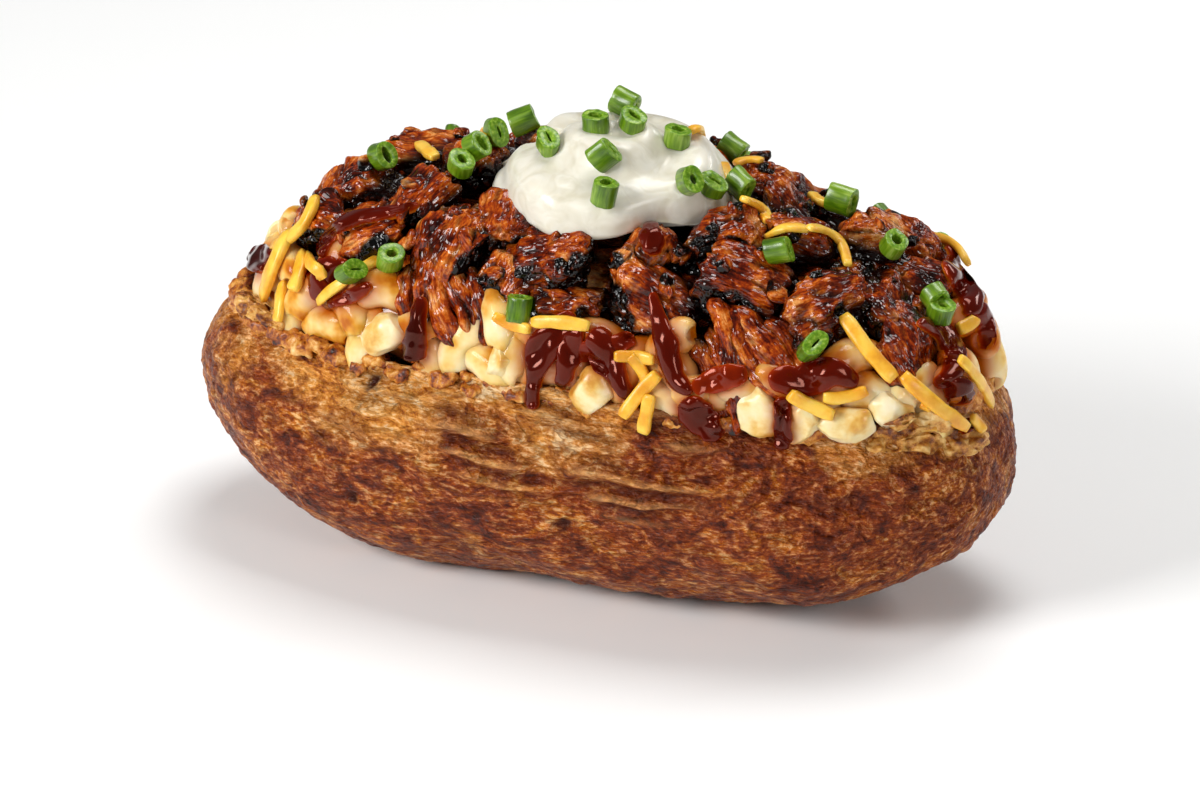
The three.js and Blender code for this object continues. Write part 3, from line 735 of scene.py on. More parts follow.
def meat(shape, rows, seed, bark_side, cuts=4):
    """A piece of meat with its grain along X, a few flat knife cuts, and bark on one side."""
    made = ball(rows)
    bark_mark, groove_shade_mark, grain_mark = meat_marks(made)
    shift = Vector((13.1 * seed, 7.7 * seed, 3.3 * seed))
    faces = []
    for n in range(cuts):
        way = noise.noise_vector(Vector((5.3 * seed, 2.1 * n, 0.7))).normalized()
        reach = rounded(shape, way)[0].dot(way)
        faces.append((way, reach * (0.66 + 0.12 * scattered(n + seed, 5))))
    for v, point, outward in swollen(made, shape):
        # The knife cuts flats into the rounded piece.
        for way, reach in faces:
            beyond = point.dot(way) - reach
            if beyond > 0:
                point -= way * beyond * 0.92
                outward = (outward + way * min(1, beyond)).normalized()

        # Bark covers one side, and the rest shows bundles and strands, with splits between them.
        p = point + shift
        bark = smoothed(outward.dot(bark_side) + 0.6 * noise.noise(p / 5), 0.38, 0.58)
        bent = p + 1.4 * noise.noise_vector(p / 6)
        split = drawn_out(bent, 18, 6.5)
        split = max(0, 1 - 7 * abs(split)) * smoothed(noise.noise(p / 9 + shift), -0.2, 0.3)
        bundle = drawn_out(bent, 9, 1.7)
        strand = drawn_out(bent, 4, 0.8)
        grit = uneven(p, (1, 1.8), (0.15, 0.9))
        lift = uneven(p, (0.9, 7), (0.9, 3)) - 0.9 * split * split
        lift += (0.30 * bundle + 0.17 * strand) * (1 - 0.8 * bark) + 0.5 * grit * bark

        # The ends of the strands stand out unevenly where they were cut across.
        v.co = point + outward * lift
        v.co.x += 1.4 * abs(outward.x) * noise.noise(Vector((shift.x, bent.y / 1.5, bent.z / 1.5)))
        v[bark_mark] = bark
        # Painted shade for the colour: dark in the splits, between bundles, and on sides that face down.
        underside_shade = smoothed(-outward.z, -0.55, 0.25)
        v[groove_shade_mark] = max(split, underside_shade, 0.6 * smoothed(-bundle, 0.1, 0.5))
        v[grain_mark] = p
    return made


# Glazed smoked beef: red-brown lean with amber along the strands, black bark, and a wet clear
# coat of glaze that puts small sharp lights on every bump. The place along the grain is in mm.
glazed_beef, tree, shader = material(
    "glazed_smoked_beef", Roughness=0.5, IOR=1.45, Specular_IOR_Level=0.0, Coat_Weight=0.78,
    Coat_Roughness=0.09,
)
place = add(tree, "Attribute", give="Vector", attribute_name="grain_place")
bark = add(tree, "Attribute", give="Fac", attribute_name="bark")
painted_groove_shade = add(tree, "Attribute", give="Fac", attribute_name="groove_shade")
along = add(tree, "Mapping", {"Vector": place, "Scale": (0.25, 1, 1)})
patches = add(tree, "TexNoise", {"Vector": place, "Scale": 1 / 9, "Detail": 6, "Roughness": 0.68})
fibres = add(tree, "TexNoise", {
    "Vector": along, "Scale": 1 / 0.7, "Detail": 4, "Roughness": 0.65, "Distortion": 0.3,
})
grit = add(tree, "TexNoise", {"Vector": place, "Scale": 1 / 1.5, "Detail": 1, "Roughness": 0.4})
mixed = add(tree, "Mix", {"Factor": 0.31, 2: patches, 3: fibres}, data_type="FLOAT")
lean = add(tree, "ValToRGB", {"Fac": mixed}, stops=[
    (0.38, "#1A0400"), (0.45, "#5C1402"), (0.50, "#9C3606"), (0.55, "#CC6416"), (0.62, "#F6AC60"),
])
# Painted shade: the lean goes nearly black where the groove mark is set.
shaded = add(tree, "Mix", {"Factor": painted_groove_shade, 6: lean, 7: "#160200"}, give=2, data_type="RGBA")
charred = add(tree, "ValToRGB", {"Fac": grit}, stops=[
    (0.48, "#010000"), (0.62, "#0C0302"), (0.74, "#5A200A"),
])
colour = add(tree, "Mix", {"Factor": bark, 6: shaded, 7: charred}, give=2, data_type="RGBA")
tree.links.new(colour, shader.inputs["Base Color"])
bumps = add(tree, "Bump", {"Height": fibres, "Strength": 0.9, "Distance": 1.1 * MM})
tree.links.new(bumps, shader.inputs["Normal"])
wet = add(tree, "TexNoise", {"Vector": along, "Scale": 1 / 1.8, "Detail": 2, "Roughness": 0.5})
surface = add(tree, "Mix", {"Factor": bark, 2: wet, 3: grit}, data_type="FLOAT")
bumps = add(tree, "Bump", {"Height": surface, "Strength": 0.8, "Distance": 1.8 * MM})
tree.links.new(bumps, shader.inputs["Coat Normal"])

mound = ball(7)
bark_mark, groove_shade_mark, grain_mark = meat_marks(mound)
for v, point, outward in swollen(mound, CORE):
    lift = 0.9 * wave(point.x, 44) * wave(point.y + 9, 38) + 0.6 * wave(point.x + 1.4 * point.y, 69)
    lift += uneven(point, (1.6, 6), (0.8, 2.5))
    v.co = CORE_MIDDLE + point + outward * lift
    v[bark_mark] = smoothed(noise.noise(point / 7), 0.0, 0.3)
    # Painted shade in patches over the core, which shows only in the gaps between the pieces.
    v[groove_shade_mark] = smoothed(noise.noise(point / 3), -0.1, 0.4)
    v[grain_mark] = point
finished(mound, "chopped_brisket", [glazed_beef], "brisket", "brisket_core")


def pulled_meat(length, width, thick, index):
    """Strands that lie side by side and splay apart, with their bark underneath."""
    made = bmesh.new()
    for n in range(STRANDS):
        share = n / (STRANDS - 1) - 0.5
        shape = dict(
            left=length * (0.5 - share * share), right=length * 0.5, half=width / STRANDS,
            above=0.3 * thick, below=0.3 * thick, plan=2.4, section=2.2,
        )
        strand = meat(shape, 5, 7 * index + n, Vector((0, 0, -1)), cuts=0)
        for v in strand.verts:
            v.co.z -= 0.004 * v.co.x * v.co.x
            v.co.y += 1.2 * wave(v.co.x + 9 * n, 34)
        splay = Matrix.Translation((0, 0.85 * width * share, 0)) @ Matrix.Rotation(0.5 * share, 4, "Z")
        slip = Matrix.Translation((0.12 * length * (n % 2), 0, -0.8 * thick * share * share))
        join(made, strand, splay @ slip)
    return made


for i, (x, y, length, width, thick, turn) in enumerate([*BRISKET, *PULLED, *far_brisket()]):
    if len(BRISKET) <= i < len(BRISKET) + len(PULLED):
        where = seat(on_heap_top(x, y), turn, -PULLED_SUNK * thick)
        chunk = pulled_meat(length, width, thick, i)
    else:
        seed = i if i < len(BRISKET) else i - len(PULLED)
        where = seat(on_heap_top(x, y), turn, -CHUNK_SUNK * thick, CHUNK_TILT * scattered(seed, 1))
        low_side = Vector((0.5 * scattered(i, 3), math.copysign(0.6, y - 4), -0.6))
        bark_side = (where.to_3x3().inverted() @ low_side).normalized()
        shape = dict(
            left=0.48 * length, right=0.48 * length, half=0.48 * width, above=thick / 2, below=0.36 * thick,
            plan=3, section=2.8,
        )
        chunk = meat(shape, 6, seed + 1, bark_side)
    chunk.transform(where)
    # Painted shade: darker where a piece lies under the smooth heap.
    groove_shade_mark = chunk.verts.layers.float["groove_shade"]
    for v in chunk.verts:
        v[groove_shade_mark] = max(v[groove_shade_mark], smoothed(under_heap(v.co), 0, 3.8))
    finished(chunk, f"meat_{i + 1:02d}", [glazed_beef], "brisket", f"brisket_{i + 1:02d}")

# ------------------------------------------------------------------------------- sour cream
# A heaped spoonful, spread by its own weight: a smooth ball with lobes round its foot, and the
# soft folds and swirl that the spoon left on top.

CREAM = dict(left=28, right=26, half=21.5, above=15.5, below=3.5, plan=2.1, section=2.1)
CREAM_MIDDLE = Vector((6, -3, 86))

# Thick soured cream: white with a trace of yellow, smooth and satiny, and lit from within.
soured_cream, tree, shader = material(
    "soured_cream", Roughness=0.32, IOR=1.45, Coat_Weight=0.3, Coat_Roughness=0.15,
    Subsurface_Weight=0.4, Subsurface_Radius=(1.0, 0.9, 0.7), Subsurface_Scale=3 * MM,
)
patchy(
    tree, shader, patches={"Scale": 1 / (5 * MM), "Detail": 2, "Distortion": 1.0},
    stops=[(0.3, "#D6CFBA"), (0.6, "#E6E1D2")], stains_and_shade={}, bump={"Strength": 0.25, "Distance": 1 * MM},
)

cream = ball(7)
for v, point, outward in swollen(cream, CREAM):
    around = math.atan2(point.y, point.x)
    low = max(0, 1 - abs(point.z) / CREAM["above"])
    lobes = (1.6 * math.sin(3 * around + 0.6) + 0.9 * math.sin(5 * around + 2)) * low
    folds = 0.7 * wave(point.x + 1.2 * point.y, 26) * wave(point.x - 1.5 * point.y + 12, 47)
    swirl = 1.1 * wave(math.hypot(point.x - 4, point.y + 2) + 3 * around, 13) * smoothed(point.z, 0, 8)
    point.z -= 2.5 * smoothed(-point.x, 4, 22) * smoothed(point.z, 0, 8)
    v.co = CREAM_MIDDLE + point + outward * (lobes + folds + swirl + 0.8 * noise.noise(point / 9))
finished(cream, "sour_cream_spoonful", [soured_cream], "sour_cream", "sour_cream")

# ------------------------------------------------------------------------------- chopped scraps
# Crumbs of bark and lean that fall between the larger pieces when brisket is chopped. They are
# scattered over the heap, and each lies on whatever it lands on.

SCRAPS = 110
SCRAP_SIZE, SCRAP_RANGE = 1.5, 1.3  # mm, half the length of the smallest, and how much more the largest has
SCRAP_SPREAD = dict(length=74, half=33)
UNDER_CREAM = dict(length=31, half=25)  # where the cream hides them
DEEPEST, PROUDEST = 7, 22  # mm below and above the smooth outside that a topping follows the food
RIM_HEIGHT = 56  # mm, where the heap stands out of the potato


def gathered(pieces):
    """One search tree, in mm, of several pieces."""
    points, faces = [], []
    for piece in pieces:
        start = len(points)
        points += [v.co / MM for v in piece.data.vertices]
        faces += [[start + i for i in face.vertices] for face in piece.data.polygons]
    return BVHTree.FromPolygons(points, faces)


carriers[:] = [gathered(laid)]
smooth_outside = []
for shape, middle in ((HEAP, HEAP_MIDDLE), (POTATO, POTATO_MIDDLE)):
    envelope = ball(6)
    for v, point, _ in swollen(envelope, shape):
        v.co = middle + point
    smooth_outside.append(BVHTree.FromBMesh(envelope))
    envelope.free()


def first_hit(trees, start, way):
    """Where a line first meets any of these, and how far along, or None."""
    best = None
    for tree in trees:
        point, _, _, distance = tree.ray_cast(start, way)
        if point and (best is None or distance < best[1]):
            best = (point, distance)
    return best


def way_out(point):
    """The smooth way out of the heap, or of the potato below it."""
    if point.z > RIM_HEIGHT:
        return outward_at(HEAP, HEAP_MIDDLE, point)
    return outward_at(POTATO, POTATO_MIDDLE, point)


def reached(start, way, deepest=DEEPEST):
    """What a line meets, kept near the smooth outside so that a topping bridges the gaps."""
    smooth = first_hit(smooth_outside, start, way)
    hit = first_hit(carriers, start, way)
    if smooth is None and hit:
        return hit[0]
    if smooth is None:
        closest = start + way * (HEAP_MIDDLE - start).dot(way)
        return smooth_outside[0].find_nearest(closest)[0]
    if hit is None:
        return smooth[0]
    depth = min(deepest, max(-PROUDEST, hit[1] - smooth[1]))
    return smooth[0] + way * depth


def landed(x, y, deepest=DEEPEST):
    """What the camera sees at a pixel."""
    return reached(EYE, sight(x, y), deepest)


def landed_far(x, down):
    """What lies so far down the far side, in mm from the ridge."""
    out = Vector((0, math.sin(down / HEAP["half"]), math.cos(down / HEAP["half"])))
    return reached(Vector((x, 0, HEAP_MIDDLE.z)) + 90 * out, -out)


def dropped(x, y, from_above=25):
    """A place on the smooth heap, the way out there, and what a topping dropped on it hits."""
    surface = on_heap_top(x, y)
    outward = outward_at(HEAP, HEAP_MIDDLE, surface)
    return surface, outward, first_hit(carriers, surface + outward * from_above, -outward)


scraps = bmesh.new()
for i in range(SCRAPS):
    reach = math.sqrt((i + 0.5) / SCRAPS)
    turn = math.radians(i * GOLDEN_TURN)
    x = CORE_MIDDLE.x + SCRAP_SPREAD["length"] * reach * math.cos(turn)
    y = SCRAP_SPREAD["half"] * reach * math.sin(turn)
    off_cream = ((x - CREAM_MIDDLE.x) / UNDER_CREAM["length"], (y - CREAM_MIDDLE.y) / UNDER_CREAM["half"])
    if math.hypot(*off_cream) < 1:
        continue
    _, outward, hit = dropped(x, y, 30)
    if hit is None:
        continue
    size = SCRAP_SIZE + SCRAP_RANGE * abs(scattered(i, 2))
    shape = dict(
        left=size, right=size, half=0.8 * size, above=0.7 * size, below=0.7 * size, plan=3, section=2.6,
    )
    bark_side = Vector((scattered(i), scattered(i, 1), scattered(i, 3))).normalized()
    scrap = meat(shape, 4, 300 + i, bark_side, cuts=3)
    join(scraps, scrap, seat(hit[0], i * GOLDEN_TURN * 1.7, -0.3, 40 * scattered(i, 4), outward))
finished(scraps, "brisket_scraps", [glazed_beef], "brisket", "brisket_core")

# ------------------------------------------------------------------------------- loose flesh
# Potato pulled out over the skin at both ends of the opening, knobbly and browned with the crust.
# Each tongue of it is spread along a line of stations and laid on what the camera sees there.

FLESH = [  # thickness and height of its knobs in mm, then stations of x, y and half width in pixels
    (0.9, 2.4, [(866, 448, 8), (896, 438, 16), (934, 430, 22), (966, 436, 22), (984, 446, 12)]),
    (0.8, 2.0, [(236, 300, 6), (250, 306, 12), (270, 318, 9), (284, 330, 5)]),
]


def between(stations, share):
    """A point so far along the smooth curve that runs through all the stations."""
    place = share * (len(stations) - 1)
    i = min(int(place), len(stations) - 2)
    part = place - i
    near = [stations[max(0, i - 1)], stations[i], stations[i + 1], stations[min(len(stations) - 1, i + 2)]]
    return [
        0.5 * (
            2 * b + (c - a) * part + (2 * a - 5 * b + 4 * c - d) * part ** 2
            + (3 * b - a - 3 * c + d) * part ** 3
        )
        for a, b, c, d in zip(*near)
    ]


def spread(thick, stations, land, n, knobs=0):
    """Something soft spread along its stations, thin at the edges and round at its lower end."""
    run = ball(6 if knobs else 5)
    thick_mark = run.verts.layers.float.new("thick")
    for v in run.verts:
        way = v.co.normalized()
        x, y, half = between(stations, (way.x + 1) / 2)
        ahead = between(stations, min(1, (way.x + 1) / 2 + 0.02))
        behind = between(stations, max(0, (way.x + 1) / 2 - 0.02))
        run_way = Vector((ahead[0] - behind[0], ahead[1] - behind[1])).normalized()
        edge = 1 + 0.4 * noise.noise(Vector((4.5 * way.x, 9 * n, 2 * way.y)))
        across = way.y * half * edge / max(0.25, (1 - way.x * way.x)) ** 0.3
        point = land(x - run_way.y * across, y + run_way.x * across)
        deep = thick * max(0, way.z) ** 0.65 * (1 + 0.4 * smoothed(way.x, 0.4, 0.9))
        torn = Vector((point.x / 2.5, point.y, point.z))
        rough = uneven(point, (0.7, 3)) + uneven(torn, (0.9, 1.5), (0.4, 0.8))
        deep += knobs * max(0, way.z) ** 0.5 * rough
        v.co = point + way_out(point) * (deep + 0.3 if way.z > 0 else way.z - 0.2)
        v[thick_mark] = min(1, deep / 2.2)
    return relaxed(run, 0 if knobs else 6)


pale_flesh = crust("soft_potato_flesh", [
    (0.36, "#5A2204"), (0.43, "#A05A14"), (0.50, "#D0903A"), (0.58, "#E6B462"), (0.70, "#F8DCA0"),
])
flesh = bmesh.new()
for n, (thick, knobs, stations) in enumerate(FLESH):
    join(flesh, spread(thick, stations, landed, n + 90, knobs))
finished(flesh, "loose_flesh", [pale_flesh], "potato_flesh", "potato")

# ------------------------------------------------------------------------------- barbecue sauce
# Thick dark sauce, spooned on last: it lies in pools on the meat and runs down over the filling
# and the skin in drips with full round ends. Each run is stations of x, y and half width, in
# pixels of the camera's frame, and is then laid on what the camera sees there.

SAUCE_RUNS = [  # thickness in mm, then the stations
    (1.6, [(420, 206, 5), (388, 214, 6), (356, 220, 7), (332, 236, 6), (322, 258, 7)]),
    (1.3, [(318, 262, 8), (340, 272, 14), (362, 270, 9)]),
    (1.2, [(313, 268, 6), (322, 290, 10), (336, 308, 8)]),
    (1.1, [(332, 302, 6), (352, 296, 8), (372, 284, 6)]),
    (2.2, [(422, 296, 8), (419, 325, 9), (416, 345, 12), (414, 360, 13)]),
    (2.2, [(274, 248, 7), (263, 260, 10), (253, 270, 7)]),
    (1.8, [(574, 312, 11), (560, 330, 15), (545, 346, 18), (537, 368, 11), (534, 388, 8), (533, 410, 11)]),
    (1.6, [(578, 320, 10), (572, 346, 13), (567, 366, 11), (562, 386, 9)]),
    (1.0, [(560, 356, 9), (588, 350, 12), (612, 346, 13), (636, 338, 10)]),
    (1.7, [(600, 326, 11), (602, 348, 17), (612, 366, 14), (622, 382, 9), (629, 400, 9)]),
    (1.6, [(653, 292, 7), (660, 322, 9), (668, 350, 13), (676, 376, 10), (692, 394, 8)]),
    (1.9, [(681, 401, 10), (695, 413, 17), (709, 426, 15), (722, 438, 10)]),
    (0.9, [(692, 388, 9), (722, 378, 13), (748, 372, 11)]),
    (1.4, [(768, 376, 12), (800, 380, 17), (832, 372, 17), (858, 384, 10)]),
    (1.9, [(782, 396, 9), (783, 425, 9), (783, 450, 10)]),
    (1.7, [(916, 322, 7), (938, 330, 9), (952, 350, 11), (950, 372, 11), (934, 386, 9)]),
    (2.0, [(952, 376, 8), (958, 392, 14), (960, 406, 11)]),
    (1.5, [(944, 258, 9), (958, 276, 12), (970, 298, 13), (968, 318, 9)]),
    (1.3, [(976, 304, 8), (984, 326, 9), (984, 350, 8)]),
    (1.5, [(962, 420, 7), (966, 434, 7)]),
    (1.6, [(650, 224, 8), (652, 238, 13), (656, 256, 9)]),
]
FAR_RUNS = [  # x, then distance down the far side of both ends, and half width, in mm
    (-58, 38, 54, 2.4), (-44, 30, 44, 3.2), (-27, 42, 60, 2.2), (-8, 36, 50, 3.4), (9, 44, 62, 2.3),
    (24, 34, 48, 3.6), (38, 44, 58, 2.2), (52, 32, 50, 3.2), (66, 40, 58, 2.4), (74, 28, 42, 3.0),
]
FAR_THICKNESS = 1.8  # mm

# Barbecue sauce: sugar glaze, nearly black red-brown where it is thick and amber where it thins.
barbecue, tree, shader = material(
    "barbecue_sauce", Roughness=0.12, IOR=1.48, Specular_IOR_Level=0.6, Specular_Tint="#FFAE9A",
)
thick_part = add(tree, "Attribute", give="Fac", attribute_name="thick")
colour = add(tree, "ValToRGB", {"Fac": thick_part}, stops=[
    (0.0, "#C4640C"), (0.2, "#942802"), (0.45, "#5C0C00"), (1.0, "#2A0200"),
])
tree.links.new(colour, shader.inputs["Base Color"])

sauce = bmesh.new()
for n, (thick, stations) in enumerate(SAUCE_RUNS):
    join(sauce, spread(thick, stations, landed, n))
for n, (x, top, low, half) in enumerate(FAR_RUNS):
    middle = (x + scattered(n), (top + low) / 2, 1.2 * half)
    stations = [(x, top, half), middle, (x + 2 * scattered(n, 1), low, half)]
    join(sauce, spread(FAR_THICKNESS, stations, landed_far, n + 60))
finished(sauce, "barbecue_sauce_runs", [barbecue], "barbecue_sauce", "macaroni_cheese")

# The sauce stains the pasta and curd that it touches, and sinks into the cheese between them, up
# to so many millimetres away.
for piece, reach in ((macaroni_piece, 5), (curds_piece, 3), (filling_piece, 12)):
    mark = piece.data.attributes.new("sauced", "FLOAT", "POINT")
    for v, value in zip(piece.data.vertices, mark.data):
        point, _, _, away = carriers[-1].find_nearest(v.co / MM, reach)
        if point:
            value.value = 0.9 * (1 - away / reach) ** 1.5

# ------------------------------------------------------------------------------- cheddar
# Coarse shreds from a box grater, soft from the heat. Each is a bar with blunt corners, bent to
# the even bow that best fits the food under it.

NEAR_SHREDS = [  # both ends and a sideways bow, in pixels of the camera's frame, then the width in mm
    (295, 235, 270, 298, 3, 3.3), (286, 283, 280, 322, 0, 2.6), (306, 256, 296, 294, -3, 3.4),
    (318, 199, 277, 248, -9, 3.0), (314, 257, 325, 272, 3, 2.6), (387, 260, 323, 302, 4, 2.4),
    (420, 146, 436, 160, 0, 2.8), (501, 128, 482, 144, 2, 2.2), (706, 133, 690, 138, 0, 2.4),
    (724, 166, 732, 190, 1, 2.6), (762, 165, 736, 168, 3, 2.2), (494, 314, 533, 329, 2, 2.6),
    (535, 322, 590, 326, -2, 2.8), (613, 356, 656, 360, -2, 2.6), (630, 354, 649, 384, -3, 2.6),
    (660, 372, 624, 417, 2, 3.0), (652, 394, 645, 431, 0, 3.0), (844, 319, 893, 380, 2, 3.3),
    (902, 376, 962, 425, 2, 3.1), (806, 233, 846, 270, -12, 2.2), (768, 240, 806, 232, -5, 2.2),
    (788, 391, 836, 414, 1, 3.0), (823, 397, 867, 389, 3, 2.6), (955, 358, 986, 404, -3, 2.4),
    (956, 330, 973, 316, 3, 2.8), (968, 418, 982, 434, 0, 2.4), (742, 206, 768, 228, -4, 2.8),
    (811, 196, 828, 206, 2, 2.6), (920, 404, 932, 410, 0, 2.6),
]
FAR_SHREDS = [  # x, y, turn in degrees, length in mm
    (-38, 27, 10, 15), (30, 29, 22, 16), (58, 27, -8, 15), (-12, 31, -14, 15), (20, 34, 30, 12),
    (-56, 23, 40, 13), (70, 22, -30, 14), (6, 32, 8, 15), (-26, 31, -25, 13), (45, 31, -10, 16),
    (-66, 18, 25, 12), (64, 29, -35, 12),
]
FAR_SHRED_WIDTH = 2.9  # mm
SHRED_STEPS = 14  # places along a shred where it can bend

# Mild cheddar: deep yellow, satin and just see-through, with the faint lines of the grater.
cheddar, tree, shader = material(
    "grated_cheddar", Roughness=0.4, IOR=1.45, Coat_Weight=0.25, Coat_Roughness=0.2,
    Subsurface_Weight=0.25, Subsurface_Radius=(1.0, 0.5, 0.1), Subsurface_Scale=2 * MM,
)
place = add(tree, "TexCoord", give="Object")
cloud = add(tree, "TexNoise", {"Vector": place, "Scale": 1 / (5 * MM), "Detail": 4})
grated = add(tree, "TexNoise", {"Vector": place, "Scale": 1 / (0.8 * MM), "Detail": 3})
colour = add(tree, "ValToRGB", {"Fac": cloud}, stops=[
    (0.34, "#E59A1C"), (0.47, "#F4B42C"), (0.62, "#FCCA4C"),
])
tree.links.new(colour, shader.inputs["Base Color"])
bumps = add(tree, "Bump", {"Height": grated, "Strength": 0.25, "Distance": 0.3 * MM})
tree.links.new(bumps, shader.inputs["Normal"])


def bow_through(line):
    """The even bow that fits a line of points best."""
    shares = [i / (len(line) - 1) for i in range(len(line))]
    sums = [sum(t ** power for t in shares) for power in range(5)]
    moments = [sum((p * t ** power for p, t in zip(line, shares)), Vector()) for power in range(3)]
    start, slope, bend = Matrix([sums[i:i + 3] for i in range(3)]).inverted() @ Matrix(moments)
    return [start + slope * t + bend * t * t for t in shares]


def laid_shred(line, width, seed, most_rise=0.9):
    """A stiff bar that rests on a line of points on the food, raised at most so far by a bump."""
    outward = way_out(line[len(line) // 2])
    bow = bow_through(line)
    rise = min(most_rise, max((p - q).dot(outward) for p, q in zip(line, bow)))
    bar = bmesh.new()
    bmesh.ops.create_cube(bar, size=2)
    lengthways = [e for e in bar.edges if abs(e.verts[0].co.x - e.verts[1].co.x) > 1]
    bmesh.ops.subdivide_edges(bar, edges=lengthways, cuts=SHRED_STEPS)
    crossways = [e for e in bar.edges if abs(e.verts[0].co.x - e.verts[1].co.x) < 0.01]
    bmesh.ops.subdivide_edges(bar, edges=crossways, cuts=2, use_grid_fill=True)
    thick = 0.30 * width
    for v in bar.verts:
        place_on = min((v.co.x + 1) / 2 * (len(bow) - 1), len(bow) - 1.001)
        i = int(place_on)
        centre = bow[i].lerp(bow[i + 1], place_on - i)
        run_way = (bow[i + 1] - bow[i]).normalized()
        across = outward.cross(run_way).normalized()
        corner = Vector((v.co.y, v.co.z))
        corner = corner / max(1, (abs(corner.x) ** 5 + abs(corner.y) ** 5) ** 0.2)
        narrow = 1 - 0.25 * abs(v.co.x) ** 8
        v.co = centre + across * corner.x * width / 2 * narrow
        v.co += run_way.cross(across) * (thick * corner.y * narrow + 0.7 * thick + rise)
        v.co += 0.22 * noise.noise_vector(v.co / 3 + Vector((seed, 0, 0)))
    return bar


def pixel_line(x0, y0, x1, y1, bow):
    """What the camera sees along a bowed line."""
    line = []
    length = math.hypot(x1 - x0, y1 - y0)
    for i in range(SHRED_STEPS):
        share = i / (SHRED_STEPS - 1)
        sideways = bow * 4 * share * (1 - share)
        x = x0 + (x1 - x0) * share - (y1 - y0) / length * sideways
        y = y0 + (y1 - y0) * share + (x1 - x0) / length * sideways
        line.append(landed(x, y))
    return line


shreds = bmesh.new()
for n, (x0, y0, x1, y1, bow, width) in enumerate(NEAR_SHREDS):
    join(shreds, laid_shred(pixel_line(x0, y0, x1, y1, bow), width, n))
for n, (x, y, turn, length) in enumerate(FAR_SHREDS):
    line = []
    turned = Matrix.Rotation(math.radians(turn), 3, "Z")
    for i in range(SHRED_STEPS):
        away = length * (i / (SHRED_STEPS - 1) - 0.5)
        offset = turned @ Vector((away, 0.012 * away * away * scattered(n), 0))
        surface, _, hit = dropped(x + offset.x, y + offset.y)
        line.append(hit[0] if hit else surface)
    join(shreds, laid_shred(line, FAR_SHRED_WIDTH, n + 50))
finished(shreds, "cheddar_shreds", [cheddar], "cheddar", "macaroni_cheese")

# ------------------------------------------------------------------------------- spring onion
# The green leaf cut across into short tubes, which squash a little and lie tumbled where they
# fell. Each is a circle drawn out into a tube, given its wall and blunted at the rims.

NEAR_ONIONS = [  # x and y in pixels, slope of its axis in degrees, its lean to the eye, length in mm
    (523, 124, 22, 8, 5.6), (497, 143, 5, 60, 3.2), (478, 157, 30, 35, 3.6), (463, 173, 70, 55, 3.8),
    (549, 150, 85, 50, 3.4), (596, 131, 88, 28, 4.2), (625, 115, -30, 20, 5.4), (633, 129, 75, 40, 3.4),
    (677, 145, 80, 30, 4.0), (605, 166, 35, 22, 4.8), (607, 201, 78, 25, 5.0), (690, 191, 20, 65, 4.2),
    (712, 193, 60, 40, 3.0), (732, 152, -38, 15, 5.4), (739, 195, -45, 25, 5.0), (386, 166, 10, 58, 4.0),
    (397, 261, 70, 60, 4.4), (358, 273, 30, 48, 3.4), (524, 309, 85, 12, 5.4), (778, 259, 8, 22, 5.0),
    (839, 209, -20, 20, 5.4), (890, 251, 60, 45, 3.6), (813, 347, 50, 62, 4.2), (928, 303, -55, 30, 3.4),
    (934, 316, 75, 35, 3.8),
]
FAR_ONIONS = [  # x, y
    (-46, 26), (-30, 30), (22, 29), (36, 30), (54, 27), (66, 26), (-6, 31), (-60, 22), (46, 34), (14, 33),
    (-18, 33), (-70, 14), (30, 35), (60, 33),
]
LEAF_RADIUS, LEAF_WALL = 2.8, 1.45  # mm

# Spring onion leaf: waxy mid green outside with fine lengthwise veins.
leaf, tree, shader = material(
    "spring_onion_leaf", Roughness=0.32, IOR=1.45, Coat_Weight=0.35, Coat_Roughness=0.15,
    Subsurface_Weight=0.15, Subsurface_Radius=(0.4, 1.0, 0.2), Subsurface_Scale=1.5 * MM,
)
lengthways_place = add(tree, "Attribute", give="Vector", attribute_name="leaf_place")
veins_place = add(tree, "Mapping", {"Vector": lengthways_place, "Scale": (1, 1, 0.12)})
veins = add(tree, "TexNoise", {"Vector": veins_place, "Scale": 1 / 0.5, "Detail": 3})
cloud = add(tree, "TexNoise", {"Vector": lengthways_place, "Scale": 1 / 7, "Detail": 2})
mixed = add(tree, "Mix", {"Factor": 0.6, 2: veins, 3: cloud}, data_type="FLOAT")
colour = add(tree, "ValToRGB", {"Fac": mixed}, stops=[
    (0.36, "#345603"), (0.46, "#527606"), (0.56, "#6E9214"), (0.70, "#9CB64C"),
])
tree.links.new(colour, shader.inputs["Base Color"])
bumps = add(tree, "Bump", {"Height": veins, "Strength": 0.3, "Distance": 0.2 * MM})
tree.links.new(bumps, shader.inputs["Normal"])

# The cut faces and the inside of the tube: paler, wetter green.
cut_leaf, tree, shader = material(
    "spring_onion_cut_face", Roughness=0.3, IOR=1.45, Subsurface_Weight=0.2,
    Subsurface_Radius=(0.5, 1.0, 0.3), Subsurface_Scale=1.5 * MM,
)
place = add(tree, "Attribute", give="Vector", attribute_name="leaf_place")
cells = add(tree, "TexNoise", {"Vector": place, "Scale": 1 / 0.6, "Detail": 3})
colour = add(tree, "ValToRGB", {"Fac": cells}, stops=[
    (0.35, "#527C0C"), (0.52, "#729A1C"), (0.72, "#A6C050"),
])
tree.links.new(colour, shader.inputs["Base Color"])


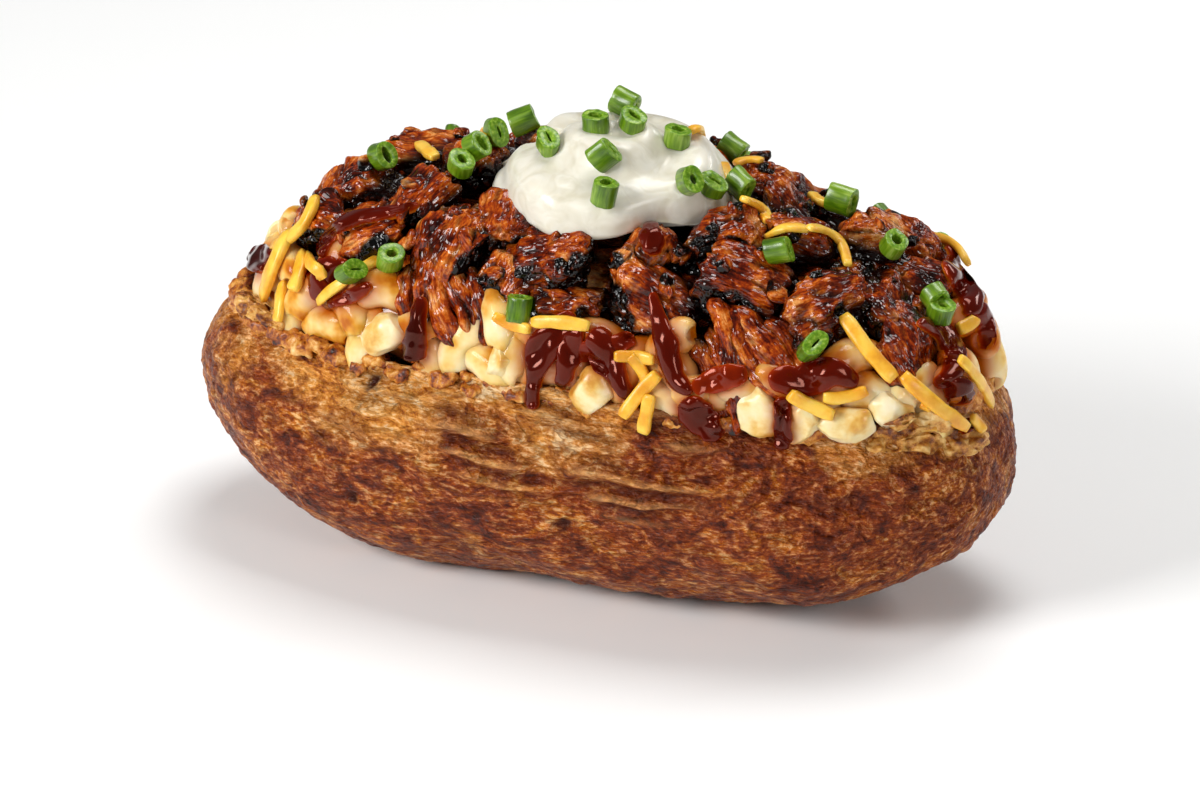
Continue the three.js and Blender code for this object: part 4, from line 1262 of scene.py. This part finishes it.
def cut_onion(length, seed):
    """One cut: a squashed tube with its axis along Z."""
    made = bmesh.new()
    bmesh.ops.create_circle(made, segments=28, radius=LEAF_RADIUS)
    grown = bmesh.ops.extrude_edge_only(made, edges=made.edges[:])
    raised = [g for g in grown["geom"] if isinstance(g, bmesh.types.BMVert)]
    bmesh.ops.translate(made, vec=(0, 0, length), verts=raised)
    bmesh.ops.translate(made, vec=(0, 0, -length / 2), verts=made.verts)
    lengthways = [e for e in made.edges if abs(e.verts[0].co.z - e.verts[1].co.z) > 1]
    bmesh.ops.subdivide_edges(made, edges=lengthways, cuts=5)
    bmesh.ops.recalc_face_normals(made, faces=made.faces)
    bmesh.ops.solidify(made, geom=made.faces[:], thickness=LEAF_WALL + 0.35 * scattered(seed, 5))
    for face in made.faces:
        middle = face.calc_center_median()
        face.material_index = 0 if math.hypot(middle.x, middle.y) > LEAF_RADIUS - 0.15 else 1
    rims = [e for e in made.edges if abs(e.calc_face_angle(0)) > 1.0]
    bmesh.ops.bevel(made, geom=rims, offset=0.16, affect="EDGES", segments=2, profile=0.5, material=-1)
    leaf_mark = made.verts.layers.float_vector.new("leaf_place")
    squash = 0.90 + 0.08 * scattered(seed, 6)
    for v in made.verts:
        v[leaf_mark] = v.co + Vector((20 * seed, 0, 0))
        if math.hypot(v.co.x, v.co.y) < 0.75 * LEAF_RADIUS:
            v.co.x *= 0.6 + 0.35 * scattered(seed, 9)
        v.co.x *= squash
        v.co.y /= squash
        v.co.z += 0.1 * v.co.x * scattered(seed, 7) + 0.2 * noise.noise(v.co / 1.2 + Vector((seed, 0, 0)))
        v.co += 0.25 * noise.noise_vector(v.co / 3 + Vector((0, seed, 0)))
    return made


onions = bmesh.new()
for n, (x, y, slope, lean, length) in enumerate(NEAR_ONIONS):
    point = landed(x, y, 2)
    outward = way_out(point)
    slope, lean = math.radians(slope), math.radians(lean)
    axis = (side * math.cos(slope) + up * math.sin(slope)) * math.cos(lean) + back * math.sin(lean)
    across = outward.cross(axis).normalized()
    over = axis.cross(across)
    reach = LEAF_RADIUS * abs(over.dot(outward)) + length / 2 * abs(axis.dot(outward))
    centre = point + outward * reach * 0.75
    where = Matrix.Translation(centre) @ Matrix((across, over, axis)).transposed().to_4x4()
    join(onions, cut_onion(length, n), where)
for n, (x, y) in enumerate(FAR_ONIONS):
    _, outward, hit = dropped(x, y)
    where = seat(hit[0], n * GOLDEN_TURN, 2.0, 70 if n % 3 else 15, outward)
    join(onions, cut_onion(4.3 + scattered(n), n + 40), where)
finished(onions, "spring_onion_cuts", [leaf, cut_leaf], "spring_onion", "sour_cream")
